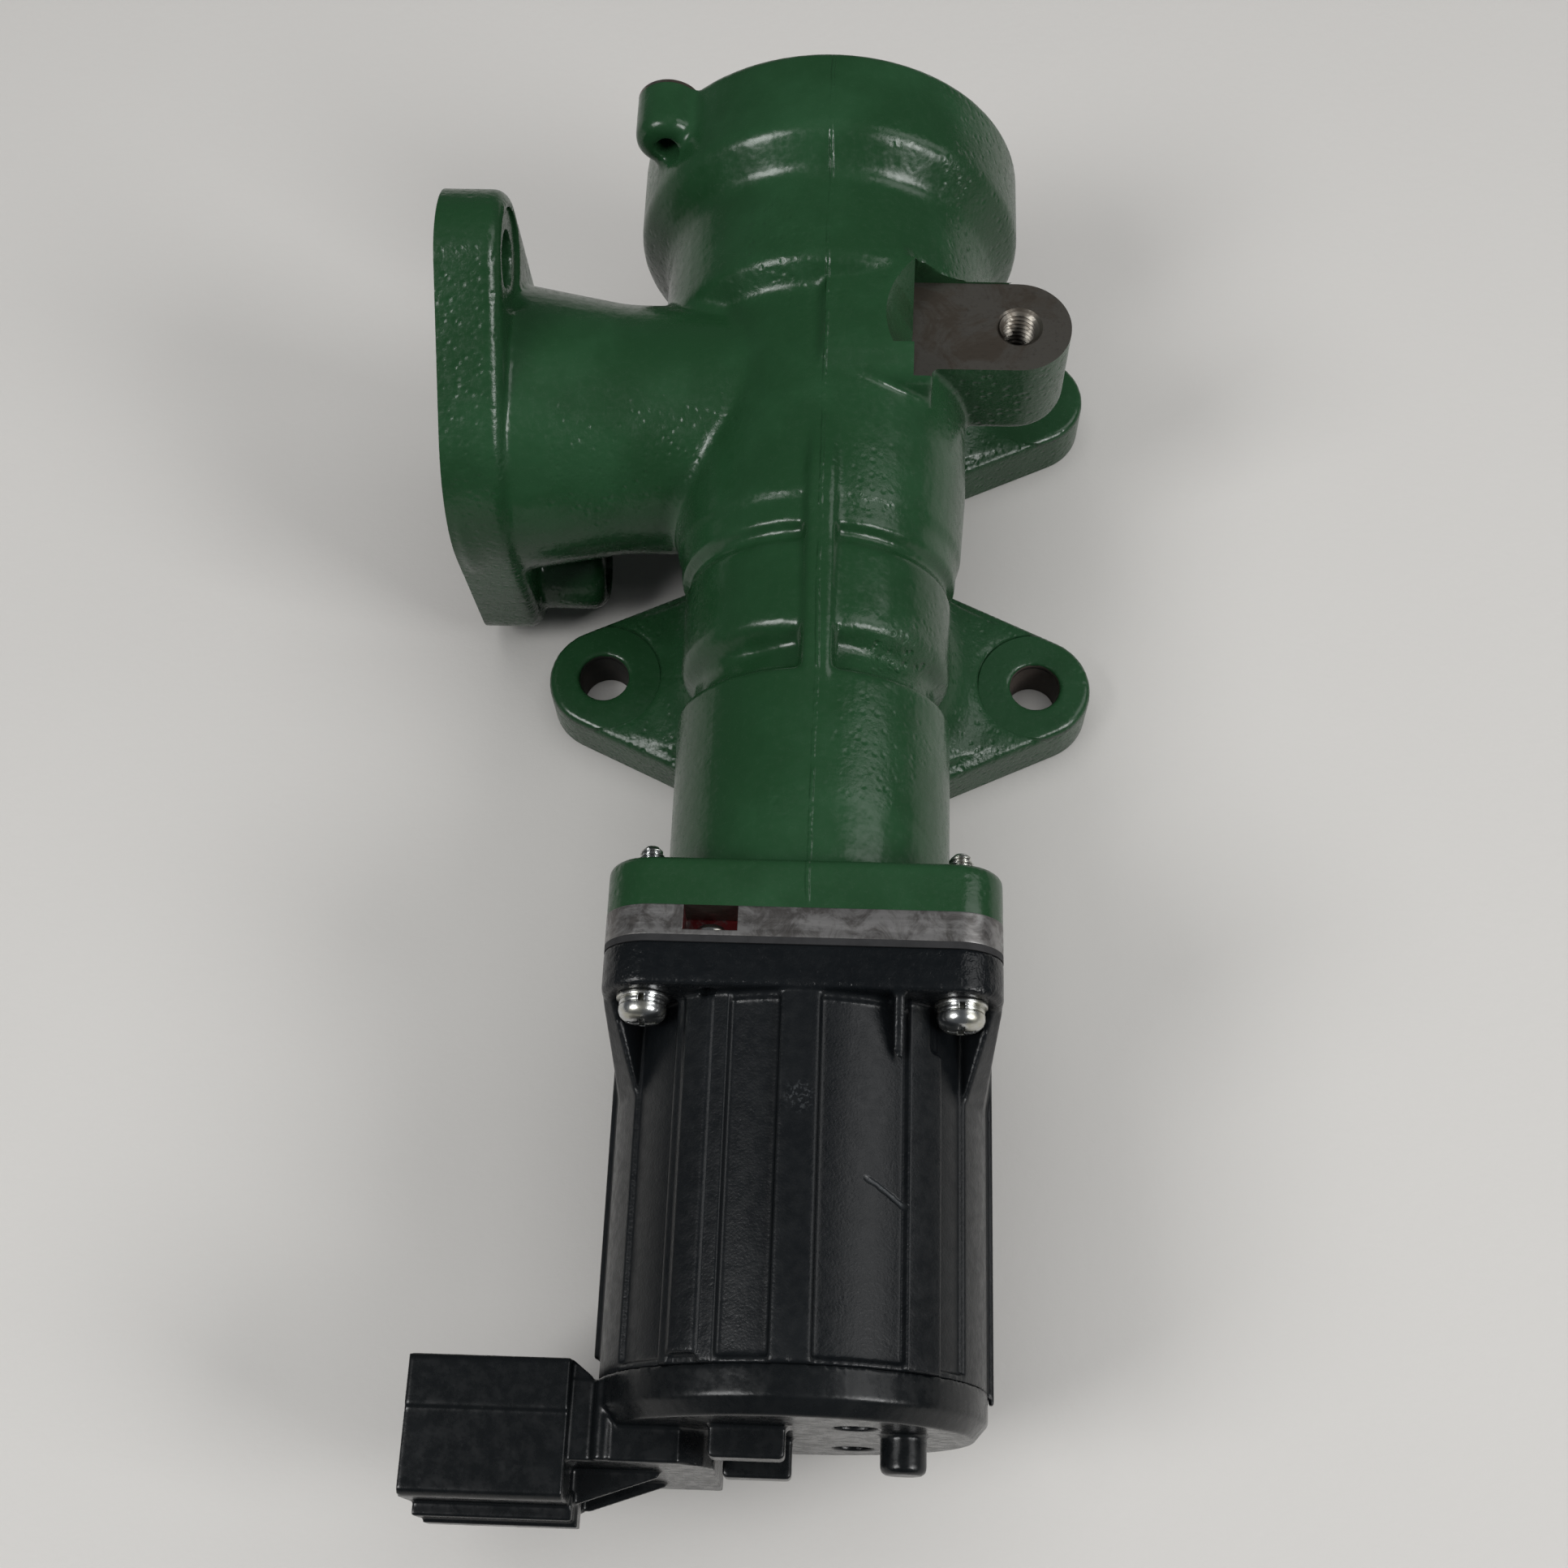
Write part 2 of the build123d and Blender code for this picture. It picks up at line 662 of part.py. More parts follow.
# ------------------------------------------------------------------ moving valve
def valve_stem():
    """Stem with the keeper groove, the poppet shoulder and the spigot for poppets and nut."""
    shoulder_y = near_poppet_back()
    groove_y = keeper_groove_y()
    groove_end = keeper_groove_end_y()
    return valve_turned(
        (stem_tip_y, 0), (stem_tip_y, stem_radius, 0.5), (groove_y, stem_radius),
        (groove_y, keeper_groove_radius), (groove_end, keeper_groove_radius),
        (groove_end, stem_radius), (shoulder_y - 5, stem_radius),
        (shoulder_y - 4, shoulder_radius), (shoulder_y, shoulder_radius), (shoulder_y, spigot_radius),
        (stem_end_y(), spigot_radius, 0.5), (stem_end_y(), 0))


def keeper_groove_y():
    """Y of the near side of the stem's keeper groove."""
    return retainer_y + keeper_groove_inset


def keeper_groove_end_y():
    """Y of the far side of the stem's keeper groove."""
    return keeper_groove_y() + keeper_groove_length


def near_poppet_back():
    """Y of the near poppet's back face."""
    return poppet_seat_y(near_ring_end_y) - poppet_back


def far_poppet_back():
    """Y of the far poppet's back face."""
    return poppet_seat_y(far_ring_end_y) - poppet_back


def poppet_seat_y(ring_end):
    """Y at which a closed poppet's cone has the seat's inner radius."""
    return ring_end - seat_chamfer + contact_gap * math.sqrt(2)


def nut_start_y():
    """Y of the nut's seating face on the far poppet."""
    return poppet_seat_y(far_ring_end_y) + poppet_lip + poppet_rim + contact_gap


def stem_end_y():
    """Y of the stem's far end."""
    return nut_start_y() + nut_length + 1.5


def poppet(ring_end, seat_radius):
    """Disc with a 45 degree sealing cone, drawn on its closed seat."""
    cone_y = poppet_seat_y(ring_end)
    back = cone_y - poppet_back
    rim = cone_y + poppet_lip
    return valve_turned(
        (back, spigot_radius + seat_fit), (back, shoulder_radius + 1.5, 0.4),
        (cone_y - 0.6, seat_radius - 0.6, 3), (rim, seat_radius + poppet_lip, 0.3),
        (rim + poppet_rim, seat_radius + poppet_lip, 0.6), (rim + poppet_rim, spigot_radius + seat_fit))


def poppet_spacer():
    """Tube that holds the two poppets apart."""
    start = poppet_seat_y(near_ring_end_y) + poppet_lip + poppet_rim + contact_gap
    return tube(shoulder_radius, spigot_radius + seat_fit, start, far_poppet_back() - contact_gap)


def poppet_nut():
    """Hexagon nut that clamps the poppets."""
    start = nut_start_y()
    hexagon = across(RegularPolygon(nut_width / 2, 6, major_radius=False), start, start + nut_length)
    return hexagon - rod(spigot_radius + seat_fit, start - 1, start + nut_length + 1)


def spring_retainer():
    """Dished disc that takes the spring's near end and holds the keepers."""
    retainer_hub = stem_radius + retainer_hub_wall
    keeper_outer = stem_radius + keeper_wall
    disc_end = retainer_y + retainer_thickness
    hub_end = disc_end + retainer_hub_length
    return valve_turned(
        (retainer_y, keeper_outer + keeper_taper), (retainer_y, retainer_radius, 0.8),
        (disc_end, retainer_radius, 0.8), (disc_end, retainer_hub, 0.5),
        (hub_end, retainer_hub, 0.5), (hub_end, keeper_outer))


def stem_keepers():
    """Two half collets in the stem's groove."""
    start = keeper_groove_y() + contact_gap
    end = retainer_y + retainer_thickness + keeper_length
    lip_end = keeper_groove_end_y() - contact_gap
    keeper_outer = stem_radius + keeper_wall
    slope = keeper_taper / (retainer_thickness + retainer_hub_length)
    wide = keeper_outer + slope * (retainer_y + retainer_thickness + retainer_hub_length - start)
    narrow = keeper_outer + slope * (retainer_hub_length - keeper_length)
    ring = valve_turned(
        (start, keeper_groove_radius + seat_fit), (start, wide - keeper_clearance),
        (end, narrow - keeper_clearance), (end, stem_radius + seat_fit),
        (lip_end, stem_radius + seat_fit), (lip_end, keeper_groove_radius + seat_fit))
    height = stem_radius + 2 * keeper_wall
    halves = []
    for side in (-1, 1):
        keep = block(sorted((side * keeper_slit, side * height)), (start - 1, end + 1),
                     (axis_height - height, axis_height + height))
        halves.append(ring & keep)
    return Compound(children=halves)


# ------------------------------------------------------------------ joint plate, gasket, fasteners
def plate_notch():
    """Pocket in the plate's upper or lower edge for a plate screw's head."""
    top = axis_height + joint_width / 2
    return block((notch_x - notch_width / 2, notch_x + notch_width / 2),
                 (flange_joint_y - notch_depth, flange_joint_y + 1), (top - notch_drop, top + 1))


def plate_screw_spots():
    """X and height of the two plate screws."""
    height = joint_width / 2 - notch_drop + plate_screw_head_radius + 0.6
    return [(notch_x, height), (-notch_x, -height)]


def half_turned(piece):
    """The piece turned half round the valve axis."""
    return piece.rotate(VALVE_AXIS, 180)


def double_flat(radius, half_width, start, end):
    """Round bar along the valve axis with two flats."""
    bar = rod(radius, start, end)
    return bar & block((-radius, radius), (start, end), (axis_height - half_width, axis_height + half_width))


def adapter_plate():
    """Plate between body and motor that stops the lead screw from turning."""
    plate = joint_square(plate_y, flange_joint_y)
    plate -= plate_notch()
    plate -= half_turned(plate_notch())
    plate -= double_flat(lead_screw_radius + running_fit, lead_screw_flat + running_fit,
                         plate_y - 1, flange_joint_y + 1)
    for hole in at_screws(rod(screw_clearance_radius, plate_y - 1, flange_joint_y + 1)):
        plate -= hole
    for x, z in plate_screw_spots():
        plate -= rod(plate_screw_radius + slip_fit, plate_y - 1, flange_joint_y + 1, x, z)
    return plate


def joint_gasket():
    """Thin gasket between plate and motor."""
    gasket = joint_square(gasket_y, plate_y)
    gasket -= rod(hub_radius + 3, gasket_y - 1, plate_y + 1)
    for hole in at_screws(rod(screw_clearance_radius, gasket_y - 1, plate_y + 1)):
        gasket -= hole
    for x, z in plate_screw_spots():
        gasket -= rod(plate_screw_radius + slip_fit, gasket_y - 1, plate_y + 1, x, z)
    return gasket


def pan_head(radius, height, start):
    """Domed screw head from its seating face towards -Y."""
    return valve_turned((start, 0), (start, radius), (start - height * 0.45, radius, 0.5),
                        (start - height, radius * 0.62, 1.2), (start - height, 0))


def cross_recess(width, depth, face_y):
    """Cross-shaped driver recess."""
    arm = width / 5
    cross = Rectangle(width, arm) + Rectangle(arm, width)
    return across(cross, face_y - 1, face_y + depth)


def plate_screws():
    """Two pan-head screws that hold the plate to the motor."""
    seat = flange_joint_y - notch_depth
    screw = pan_head(plate_screw_head_radius, plate_screw_head_height, 0).mirror(Plane.XZ)
    screw = Pos(0, seat, 0) * screw + rod(plate_screw_radius, seat - plate_screw_length, seat + 0.1)
    recess = cross_recess(2.6, 1.0, 0).mirror(Plane.XZ)
    screw -= Pos(0, seat + plate_screw_head_height, 0) * recess
    return Compound(children=[Pos(x, 0, z) * screw for x, z in plate_screw_spots()])


def stack_y():
    """Y of the screw heads' seating faces."""
    return motor_flange_y - flat_washer_thickness - spring_washer_thickness


def motor_screws():
    """Four pan-head screws through motor, plate and body flange."""
    seat = stack_y()
    tip = flange_joint_y + body_flange_thickness + screw_tip_reach
    shank = valve_turned((seat, 0), (seat, screw_radius), (tip, screw_radius, 0.5), (tip, 0))
    screw = pan_head(head_radius, head_height, seat) + shank
    screw -= cross_recess(4.4, 1.8, seat - head_height)
    return Compound(children=at_screws(screw))


def flat_washers():
    """Four plain washers."""
    return Compound(children=at_screws(tube(flat_washer_radius, screw_clearance_radius,
                                            motor_flange_y - flat_washer_thickness, motor_flange_y)))


def spring_washers():
    """Four split lock washers, drawn flat."""
    start = stack_y()
    ring = tube(spring_washer_radius, screw_clearance_radius, start, start + spring_washer_thickness)
    gap = Pos(0, start, axis_height) * Rot(0, 25, 0) * Pos(spring_washer_radius, 0, 0)
    ring -= gap * Box(spring_washer_radius, 2 * spring_washer_thickness + 1, 0.8)
    return Compound(children=at_screws(ring))


# ------------------------------------------------------------------ motor
def sector(radius, from_degrees, to_degrees):
    """Pie-shaped sketch between two angles, out to a radius."""
    middle = (from_degrees + to_degrees) / 2
    tip = radius / math.cos(math.radians((to_degrees - from_degrees) / 2))
    return make_face(Polyline((0, 0), polar(radius, from_degrees), polar(tip, middle),
                              polar(radius, to_degrees), close=True))


def housing_section(end_y, start_y, inner_radius, outer_radius, from_degrees, to_degrees):
    """Curved pad or recess on the housing between two radii and two angles."""
    ring = rod(outer_radius, end_y, start_y) - rod(inner_radius, end_y, start_y)
    return ring & across(sector(outer_radius * 1.2, from_degrees, to_degrees), end_y, start_y)


def housing_ribs():
    """Raised lands on the upper and lower sides of the housing."""
    land = housing_radius + land_height
    end = housing_end_y + 0.2
    start = motor_flange_y
    inside = housing_radius - housing_wall / 2
    pieces = [housing_section(end, start, inside, land, *angles)
              for angles in (centre_land, left_land, outer_land, right_land)]
    pieces.append(housing_section(end + ledge_overhang, start, inside, land + ledge_height, *ledge))
    fin_z = (axis_height - side_fin_width / 2, axis_height + side_fin_width / 2)
    fin_outside = housing_radius + side_fin_height
    hook_end = housing_end_y - side_fin_overhang
    fin = block((inside, fin_outside), (housing_end_y + side_fin_stop, start), fin_z)
    hook = block((inside, fin_outside), (housing_end_y, housing_end_y + side_fin_stop + 1), fin_z)
    hook += block((cap_radius + slip_fit, fin_outside), (hook_end, housing_end_y + 1), fin_z)
    web_x, web_z = polar(inside, web_angle)
    web = VALVE_PLANE * make_face(Polyline(
        (motor_flange_y - gusset_length, web_z), (motor_flange_y, web_z),
        (motor_flange_y, joint_width / 2 - web_edge), close=True))
    pieces.append(Pos(web_x, 0, 0) * extrude(web, amount=web_thickness / 2, both=True))
    return pieces, fin, hook


def corner_gussets():
    """Four webs outside the screws, from the flange's sides down onto the can."""
    side = joint_width / 2
    inside = housing_radius - slip_fit
    root = (gusset_root - side, -1)
    at_flange = Polyline((-side, -1), (-side, gusset_tip_height), (1.5 - side, gusset_brow_height),
                         (2.6 - side, gusset_brow_height - 0.6), (7.0 - side, side / 2 - 0.5), root,
                         close=True)
    at_can = Polyline((-inside, -1), polar(inside, 165), polar(inside, 150), polar(inside - 0.6, 149),
                      polar(inside - housing_wall, 151), root, close=True)
    planes = [Plane(origin=(0, y, axis_height), x_dir=(1, 0, 0), z_dir=(0, -1, 0))
              for y in (motor_flange_y + 0.5, motor_flange_y - gusset_length)]
    upper_left = loft([planes[0] * make_face(at_flange), planes[1] * make_face(at_can)], ruled=True)
    lower_left = upper_left.mirror(Plane.XY.offset(axis_height))
    return [upper_left, lower_left, upper_left.mirror(Plane.YZ), lower_left.mirror(Plane.YZ)]


def motor_housing():
    """Die-cast can with square flange, screw pockets, panels and ribs."""
    flange = joint_square(motor_flange_y, gasket_y)
    flange = fillet(flange.edges().group_by(Axis.Y)[0], 1.0)
    housing = flange + rod(housing_radius, housing_end_y, motor_flange_y)
    ribs, fin, hook = housing_ribs()
    for rib in ribs:
        housing += rib
        housing += half_turned(rib)
    housing += fin
    housing += half_turned(fin)
    housing += hook
    for low, high in ((flute_edge_angle, right_land[0]), (outer_land[1], 180 - flute_edge_angle)):
        flute = housing_section(housing_end_y + 1.0, motor_flange_y, housing_radius - flute_depth,
                                housing_radius + 0.5, low, high)
        housing -= flute
        housing -= half_turned(flute)
    for gusset in corner_gussets():
        housing += gusset
    for low, high in ((right_land[1], centre_land[0]), (centre_land[1], left_land[0])):
        panel = housing_section(housing_end_y + panel_margin, motor_flange_y - panel_margin,
                                housing_radius - panel_depth,
                                housing_radius + 0.5, low, high)
        housing -= panel
        housing -= half_turned(panel)
    housing -= rod(housing_bore_radius, housing_end_y - 1, front_wall_y)
    housing -= rod(bearing_radius + seat_fit, front_wall_y - 1, front_wall_y + bearing_width)
    housing -= rod(hub_radius, front_wall_y, gasket_y + 1)
    for hole in at_screws(rod(screw_clearance_radius, motor_flange_y - 1, gasket_y + 1)):
        housing -= hole
    for pocket in at_screws(rod(flat_washer_radius + screw_pocket_margin, motor_flange_y - screw_pocket_depth,
                                motor_flange_y)):
        housing -= pocket
    for x, z in plate_screw_spots():
        housing -= rod(plate_screw_radius + seat_fit, gasket_y - plate_screw_length, gasket_y + 1, x, z)
    return housing


def cap_disc():
    """Round part of the end cap with its spigot and the rear bearing's pocket."""
    rim_y = housing_end_y - cap_rim_length
    pocket_end = rear_bearing_y() + bearing_width
    spigot_end = housing_end_y + cap_spigot_length
    spigot = housing_bore_radius - slip_fit
    return valve_turned(
        (cap_face_y, 0), (cap_face_y, cap_face_radius, 0.4), (rim_y, cap_radius, 1.0),
        (housing_end_y, cap_radius), (housing_end_y, spigot), (spigot_end, spigot, 0.6),
        (spigot_end, spigot - 2.5), (housing_end_y, spigot - 2.5),
        (housing_end_y, bearing_radius + 3), (pocket_end - 2, bearing_radius + 3, 0.6),
        (pocket_end - 2, bearing_radius + seat_fit), (wave_washer_y(), bearing_radius + seat_fit),
        (wave_washer_y(), journal_radius + 2), (wave_washer_y() - 1, 0))


def rear_bearing_y():
    """Y of the rear bearing's rear face."""
    return wave_washer_y() + 1.4


def wave_washer_y():
    """Y of the floor of the rear bearing's pocket."""
    return cap_face_y + 3.0


def cap_arm():
    """Arm that joins the cap to the connector, with its bead and bevelled end."""
    bottom = arm_top_z - arm_height
    section = Polyline(
        (arm_left_x, arm_top_z - 1.2), (arm_left_x + 4.2, arm_top_z - 1.2), (arm_left_x + 5.6, arm_top_z),
        (arm_right_x - 5.5, arm_top_z), (arm_right_x - 1.5, arm_top_z - 3.5),
        (arm_right_x, arm_top_z - 6), (arm_right_x, bottom), (arm_left_x, bottom), close=True)
    start = housing_end_y - 0.6
    length = start - arm_near_y + arm_draft
    plane = Plane(origin=(0, start, 0), x_dir=(1, 0, 0), z_dir=(0, -1, 0))
    arm = extrude(plane * make_face(section), amount=length)
    bead = Pos(arm_left_x + 5.8, start, arm_top_z - 0.9) * Rot(90, 0, 0)
    arm += bead * Cylinder(1.7, length, align=UP_FROM_BASE)
    lowest = arm_near_y - arm_draft
    beyond = make_face(Polyline((lowest - 2, bottom - 1), (lowest, bottom - 1), (arm_near_y, arm_top_z + 2),
                                (lowest - 2, arm_top_z + 2), close=True))
    return arm - extrude(Plane.YZ * beyond, amount=60, both=True)


def connector_shroud():
    """Open-ended box of the connector with its lower tab, keying step and gusset ribs."""
    left = arm_left_x - shroud_length
    far_y = shroud_near_y + shroud_width
    bottom = shroud_top_z - shroud_height
    shell = block((left, arm_left_x), (shroud_near_y, far_y), (bottom, shroud_top_z))
    shell = fillet(shell.edges().filter_by(Axis.X).group_by(Axis.Y)[0], 2.6)
    shell = fillet(shell.edges().filter_by(Axis.X).group_by(Axis.Y)[-1], 0.8)
    shell -= block((left - 1, arm_left_x + 1), (shroud_near_y - 1, far_y - 8.2),
                   (shroud_top_z - 0.5, shroud_top_z + 1))
    tab_z = bottom + shroud_height / 2 + 0.5
    shell += block((left + 1.0, arm_left_x + 0.6), (shroud_near_y - 2.4, shroud_near_y + 2),
                   (tab_z, tab_z + 6.0))
    shell += block((left + 2.4, arm_left_x + 1.2), (shroud_near_y - 3.2, shroud_near_y + 2),
                   (tab_z - 2.0, tab_z + 2.6))
    cheek_y = far_y - 2.6
    cheek = Polyline((arm_left_x, far_y), (arm_left_x + 3.4, cheek_y), (arm_left_x, cheek_y), close=True)
    shell += extrude(Plane.XY.offset(bottom + 2) * make_face(cheek), amount=shroud_height - 4)
    for height in (shroud_top_z - 13.0, bottom + 2.0):
        rib = Polyline((arm_left_x - 0.5, arm_near_y + 1), (arm_left_x - 0.5, shroud_near_y + 0.6),
                       (arm_left_x + 1.2, shroud_near_y + 0.4),
                       (arm_left_x + 14.2, arm_near_y - arm_draft - 0.4),
                       (arm_left_x + 15.7, arm_near_y + 1), close=True)
        shell += extrude(Plane.XY.offset(height) * make_face(rib), amount=rib_thickness)
    return shell


def shroud_cavity():
    """Space that the harness plug goes into."""
    left = arm_left_x - shroud_length
    far_y = shroud_near_y + shroud_width
    bottom = shroud_top_z - shroud_height
    cavity = block((left - 1, left + shroud_depth), (shroud_near_y + shroud_wall, far_y - shroud_wall),
                   (bottom + shroud_wall, shroud_top_z - shroud_wall - 0.4))
    return fillet(cavity.edges().filter_by(Axis.X), 1.5)


def cap_details():
    """Post and the two tabs on the cap's face."""
    root_y = cap_face_y + 0.5
    post = rod(post_radius, cap_face_y - post_length, root_y, post_x, post_height)
    post = fillet(post.edges().group_by(Axis.Y)[0], 1.2)
    upper_z = axis_height + upper_tab_height
    lower_z = axis_height + lower_tab_height
    upper_y = (cap_face_y - upper_tab_reach, root_y)
    lower_y = (cap_face_y - lower_tab_reach, root_y)
    upper_tab = block((arm_right_x - 0.4, -0.6), upper_y, (upper_z, upper_z + 6.0))
    lower_tab = block((arm_right_x + 1.2, 0.2), lower_y, (lower_z, lower_z + 5.0))
    upper_tab = fillet(upper_tab.edges().filter_by(Axis.Z), 0.8)
    lower_tab = fillet(lower_tab.edges().filter_by(Axis.Z), 0.8)
    return [post, upper_tab, lower_tab]


def terminal_spots():
    """Y and Z of the six terminals."""
    middle_y = shroud_near_y + shroud_width / 2
    middle_z = shroud_top_z - shroud_height / 2
    return [(middle_y + column * terminal_pitch_y, middle_z + row * terminal_pitch_z)
            for column in (-1, 1) for row in (-1, 0, 1)]


def motor_end_cap():
    """Moulded cap with arm, connector shroud, post and tabs."""
    cap = cap_disc() + cap_arm() + connector_shroud()
    for detail in cap_details():
        cap += detail
    cap -= shroud_cavity()
    cap -= rod(bearing_radius + seat_fit, wave_washer_y(), housing_end_y + 1)
    for height in cap_hole_heights:
        cap -= rod(cap_hole_radius, cap_face_y - 1, cap_face_y + cap_hole_depth, cap_hole_x, height)
    for y, z in terminal_spots():
        cap -= terminal_at(y, z, seat_fit)
    return cap


def terminal_at(y, z, allowance=0.0):
    """One flat blade along X, grown by an allowance for its slot."""
    half_width = terminal_width / 2 + allowance
    half_thickness = terminal_thickness / 2 + allowance
    tip = arm_left_x - shroud_length + terminal_recess
    return block((tip, arm_left_x + terminal_root + allowance), (y - half_width, y + half_width),
                 (z - half_thickness, z + half_thickness))


def terminal_pins():
    """Six terminals moulded into the connector."""
    return Compound(children=[terminal_at(y, z) for y, z in terminal_spots()])


def bearing_races(start):
    """Outer and inner race of a ball bearing."""
    middle = start + bearing_width / 2
    pitch = (bearing_radius + journal_radius) / 2
    track = Pos(0, middle, axis_height) * Rot(90, 0, 0) * Torus(pitch, ball_radius + running_fit)
    outer = tube(bearing_radius, bearing_radius - bearing_race_wall, start, start + bearing_width) - track
    inner = tube(journal_radius + bearing_race_wall, journal_radius + seat_fit, start, start + bearing_width)
    return outer, inner - track


def bearing_balls(start):
    """Balls of a bearing on their pitch circle."""
    pitch = (bearing_radius + journal_radius) / 2
    balls = []
    for index in range(ball_count):
        x, z = polar(pitch, index * 360 / ball_count)
        balls.append(Pos(x, start + bearing_width / 2, axis_height + z) * Sphere(ball_radius))
    return Compound(children=balls)


def rotor_nut():
    """Brass hub on the lead screw, with a journal at each end."""
    rear = rear_bearing_y() + 0.3
    front = front_wall_y + bearing_width + 1.5
    return valve_turned(
        (rear, lead_screw_radius + running_fit), (rear, journal_radius, 0.3),
        (rear_bearing_y() + bearing_width + contact_gap, journal_radius),
        (rear_bearing_y() + bearing_width + contact_gap, hub_radius),
        (front_wall_y - contact_gap, hub_radius), (front_wall_y - contact_gap, journal_radius),
        (front, journal_radius, 0.3), (front, lead_screw_radius + running_fit))


def rotor_magnet():
    """Ring magnet on the hub."""
    return tube(magnet_radius, hub_radius + seat_fit, magnet_start_y(), front_wall_y - 3.0)


def magnet_start_y():
    """Y of the magnet's rear face."""
    return rear_bearing_y() + bearing_width + 3.0


def lead_screw():
    """Screw that slides but does not turn, with a rounded tip on the stem."""
    tip = stem_tip_y - contact_gap
    return double_flat(lead_screw_radius, lead_screw_flat, lead_screw_rear_y, tip)


def stator_start(index):
    """Y of a stator stack's rear face, 0 for the front stack and 1 for the rear one."""
    return front_wall_y - contact_gap - (index + 1) * (stator_length + contact_gap)


def stator_yoke(index):
    """Steel cup pair with interleaved claws."""
    start = stator_start(index)
    end = start + stator_length
    outer = housing_bore_radius - slip_fit
    yoke = tube(outer, outer - yoke_wall, start, end)
    yoke += tube(outer - 1, stator_bore_radius, start, start + yoke_plate)
    yoke += tube(outer - 1, stator_bore_radius, end - yoke_plate, end)
    reach = stator_length - 2 * yoke_plate - 1.0
    step = 180 / claw_count
    for number in range(2 * claw_count):
        from_rear = number % 2 == 0
        low = start + 0.5 if from_rear else end - 0.5 - reach
        claw = rod(stator_bore_radius + claw_thickness, low, low + reach)
        claw -= rod(stator_bore_radius, low - 1, low + reach + 1)
        claw &= across(sector(stator_bore_radius * 1.5, number * step - step * 0.36,
                              number * step + step * 0.36), low, low + reach)
        yoke += claw
    return yoke


def coil_bobbin(index):
    """Moulded spool inside a stator stack."""
    start = stator_start(index) + yoke_plate + slip_fit
    end = stator_start(index) + stator_length - yoke_plate - slip_fit
    inner = stator_bore_radius + claw_thickness + slip_fit
    outer = housing_bore_radius - slip_fit - yoke_wall - slip_fit
    return valve_turned((start, inner), (start, outer), (start + 1, outer), (start + 1, inner + 1),
                        (end - 1, inner + 1), (end - 1, outer), (end, outer), (end, inner))


def stator_coil(index):
    """Winding on a spool."""
    start = stator_start(index) + yoke_plate + slip_fit + 1 + contact_gap
    end = stator_start(index) + stator_length - yoke_plate - slip_fit - 1 - contact_gap
    inner = stator_bore_radius + claw_thickness + slip_fit + 1 + seat_fit
    outer = housing_bore_radius - slip_fit - yoke_wall - slip_fit - 0.6
    return tube(outer, inner, start, end)


def wave_washer():
    """Preload washer behind the rear bearing, drawn flat at its working height."""
    start = wave_washer_y() + contact_gap
    return tube(bearing_radius - 0.3, journal_radius + 3.2, start, rear_bearing_y() - contact_gap)


# ------------------------------------------------------------------ write the nodes
def build_nodes():
    """All nodes by name."""
    front_outer, front_inner = bearing_races(front_wall_y)
    rear_outer, rear_inner = bearing_races(rear_bearing_y())
    nodes = {
        "valve_body": valve_body(),
        "near_seat_ring": seat_ring(near_seat_y, seat_ring_length, near_seat_radius, near_ring_radius),
        "far_seat_ring": seat_ring(far_seat_y, far_ring_length, far_seat_radius, far_ring_radius),
        "stem_bushing": stem_bushing(),
        "stem_seal": stem_seal(),
        "return_spring": return_spring(),
        "valve_stem": valve_stem(),
        "near_poppet": poppet(near_ring_end_y, near_seat_radius),
        "far_poppet": poppet(far_ring_end_y, far_seat_radius),
        "poppet_spacer": poppet_spacer(),
        "poppet_nut": poppet_nut(),
        "spring_retainer": spring_retainer(),
        "stem_keepers": stem_keepers(),
        "adapter_plate": adapter_plate(),
        "joint_gasket": joint_gasket(),
        "plate_screws": plate_screws(),
        "motor_screws": motor_screws(),
        "spring_washers": spring_washers(),
        "flat_washers": flat_washers(),
        "motor_housing": motor_housing(),
        "motor_end_cap": motor_end_cap(),
        "terminal_pins": terminal_pins(),
        "front_bearing_outer_race": front_outer,
        "front_bearing_inner_race": front_inner,
        "front_bearing_balls": bearing_balls(front_wall_y),
        "rear_bearing_outer_race": rear_outer,
        "rear_bearing_inner_race": rear_inner,
        "rear_bearing_balls": bearing_balls(rear_bearing_y()),
        "wave_washer": wave_washer(),
        "rotor_nut": rotor_nut(),
        "rotor_magnet": rotor_magnet(),
        "lead_screw": lead_screw(),
    }
    for index, place in enumerate(("front", "rear")):
        nodes[f"{place}_stator_yoke"] = stator_yoke(index)
        nodes[f"{place}_coil_bobbin"] = coil_bobbin(index)
        nodes[f"{place}_coil"] = stator_coil(index)
    return nodes


os.makedirs("parts", exist_ok=True)
for node_name, node_shape in build_nodes().items():
    export_step(node_shape, f"parts/{node_name}.step")
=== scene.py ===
"""Looks of the motor-driven exhaust gas recirculation valve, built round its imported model.

Lengths in the classes below are in millimetres unless they say otherwise. The valve axis runs along +Y
at a height of 49 mm, +Z is up from the mounting face, and the gas inlet branch points to -X.
"""
from __future__ import annotations

import functools
import json
import logging
import math
from dataclasses import dataclass
from enum import Enum
from typing import Any, Callable, Sequence

import bmesh
import bpy
import numpy as np
from mathutils import Matrix, Vector


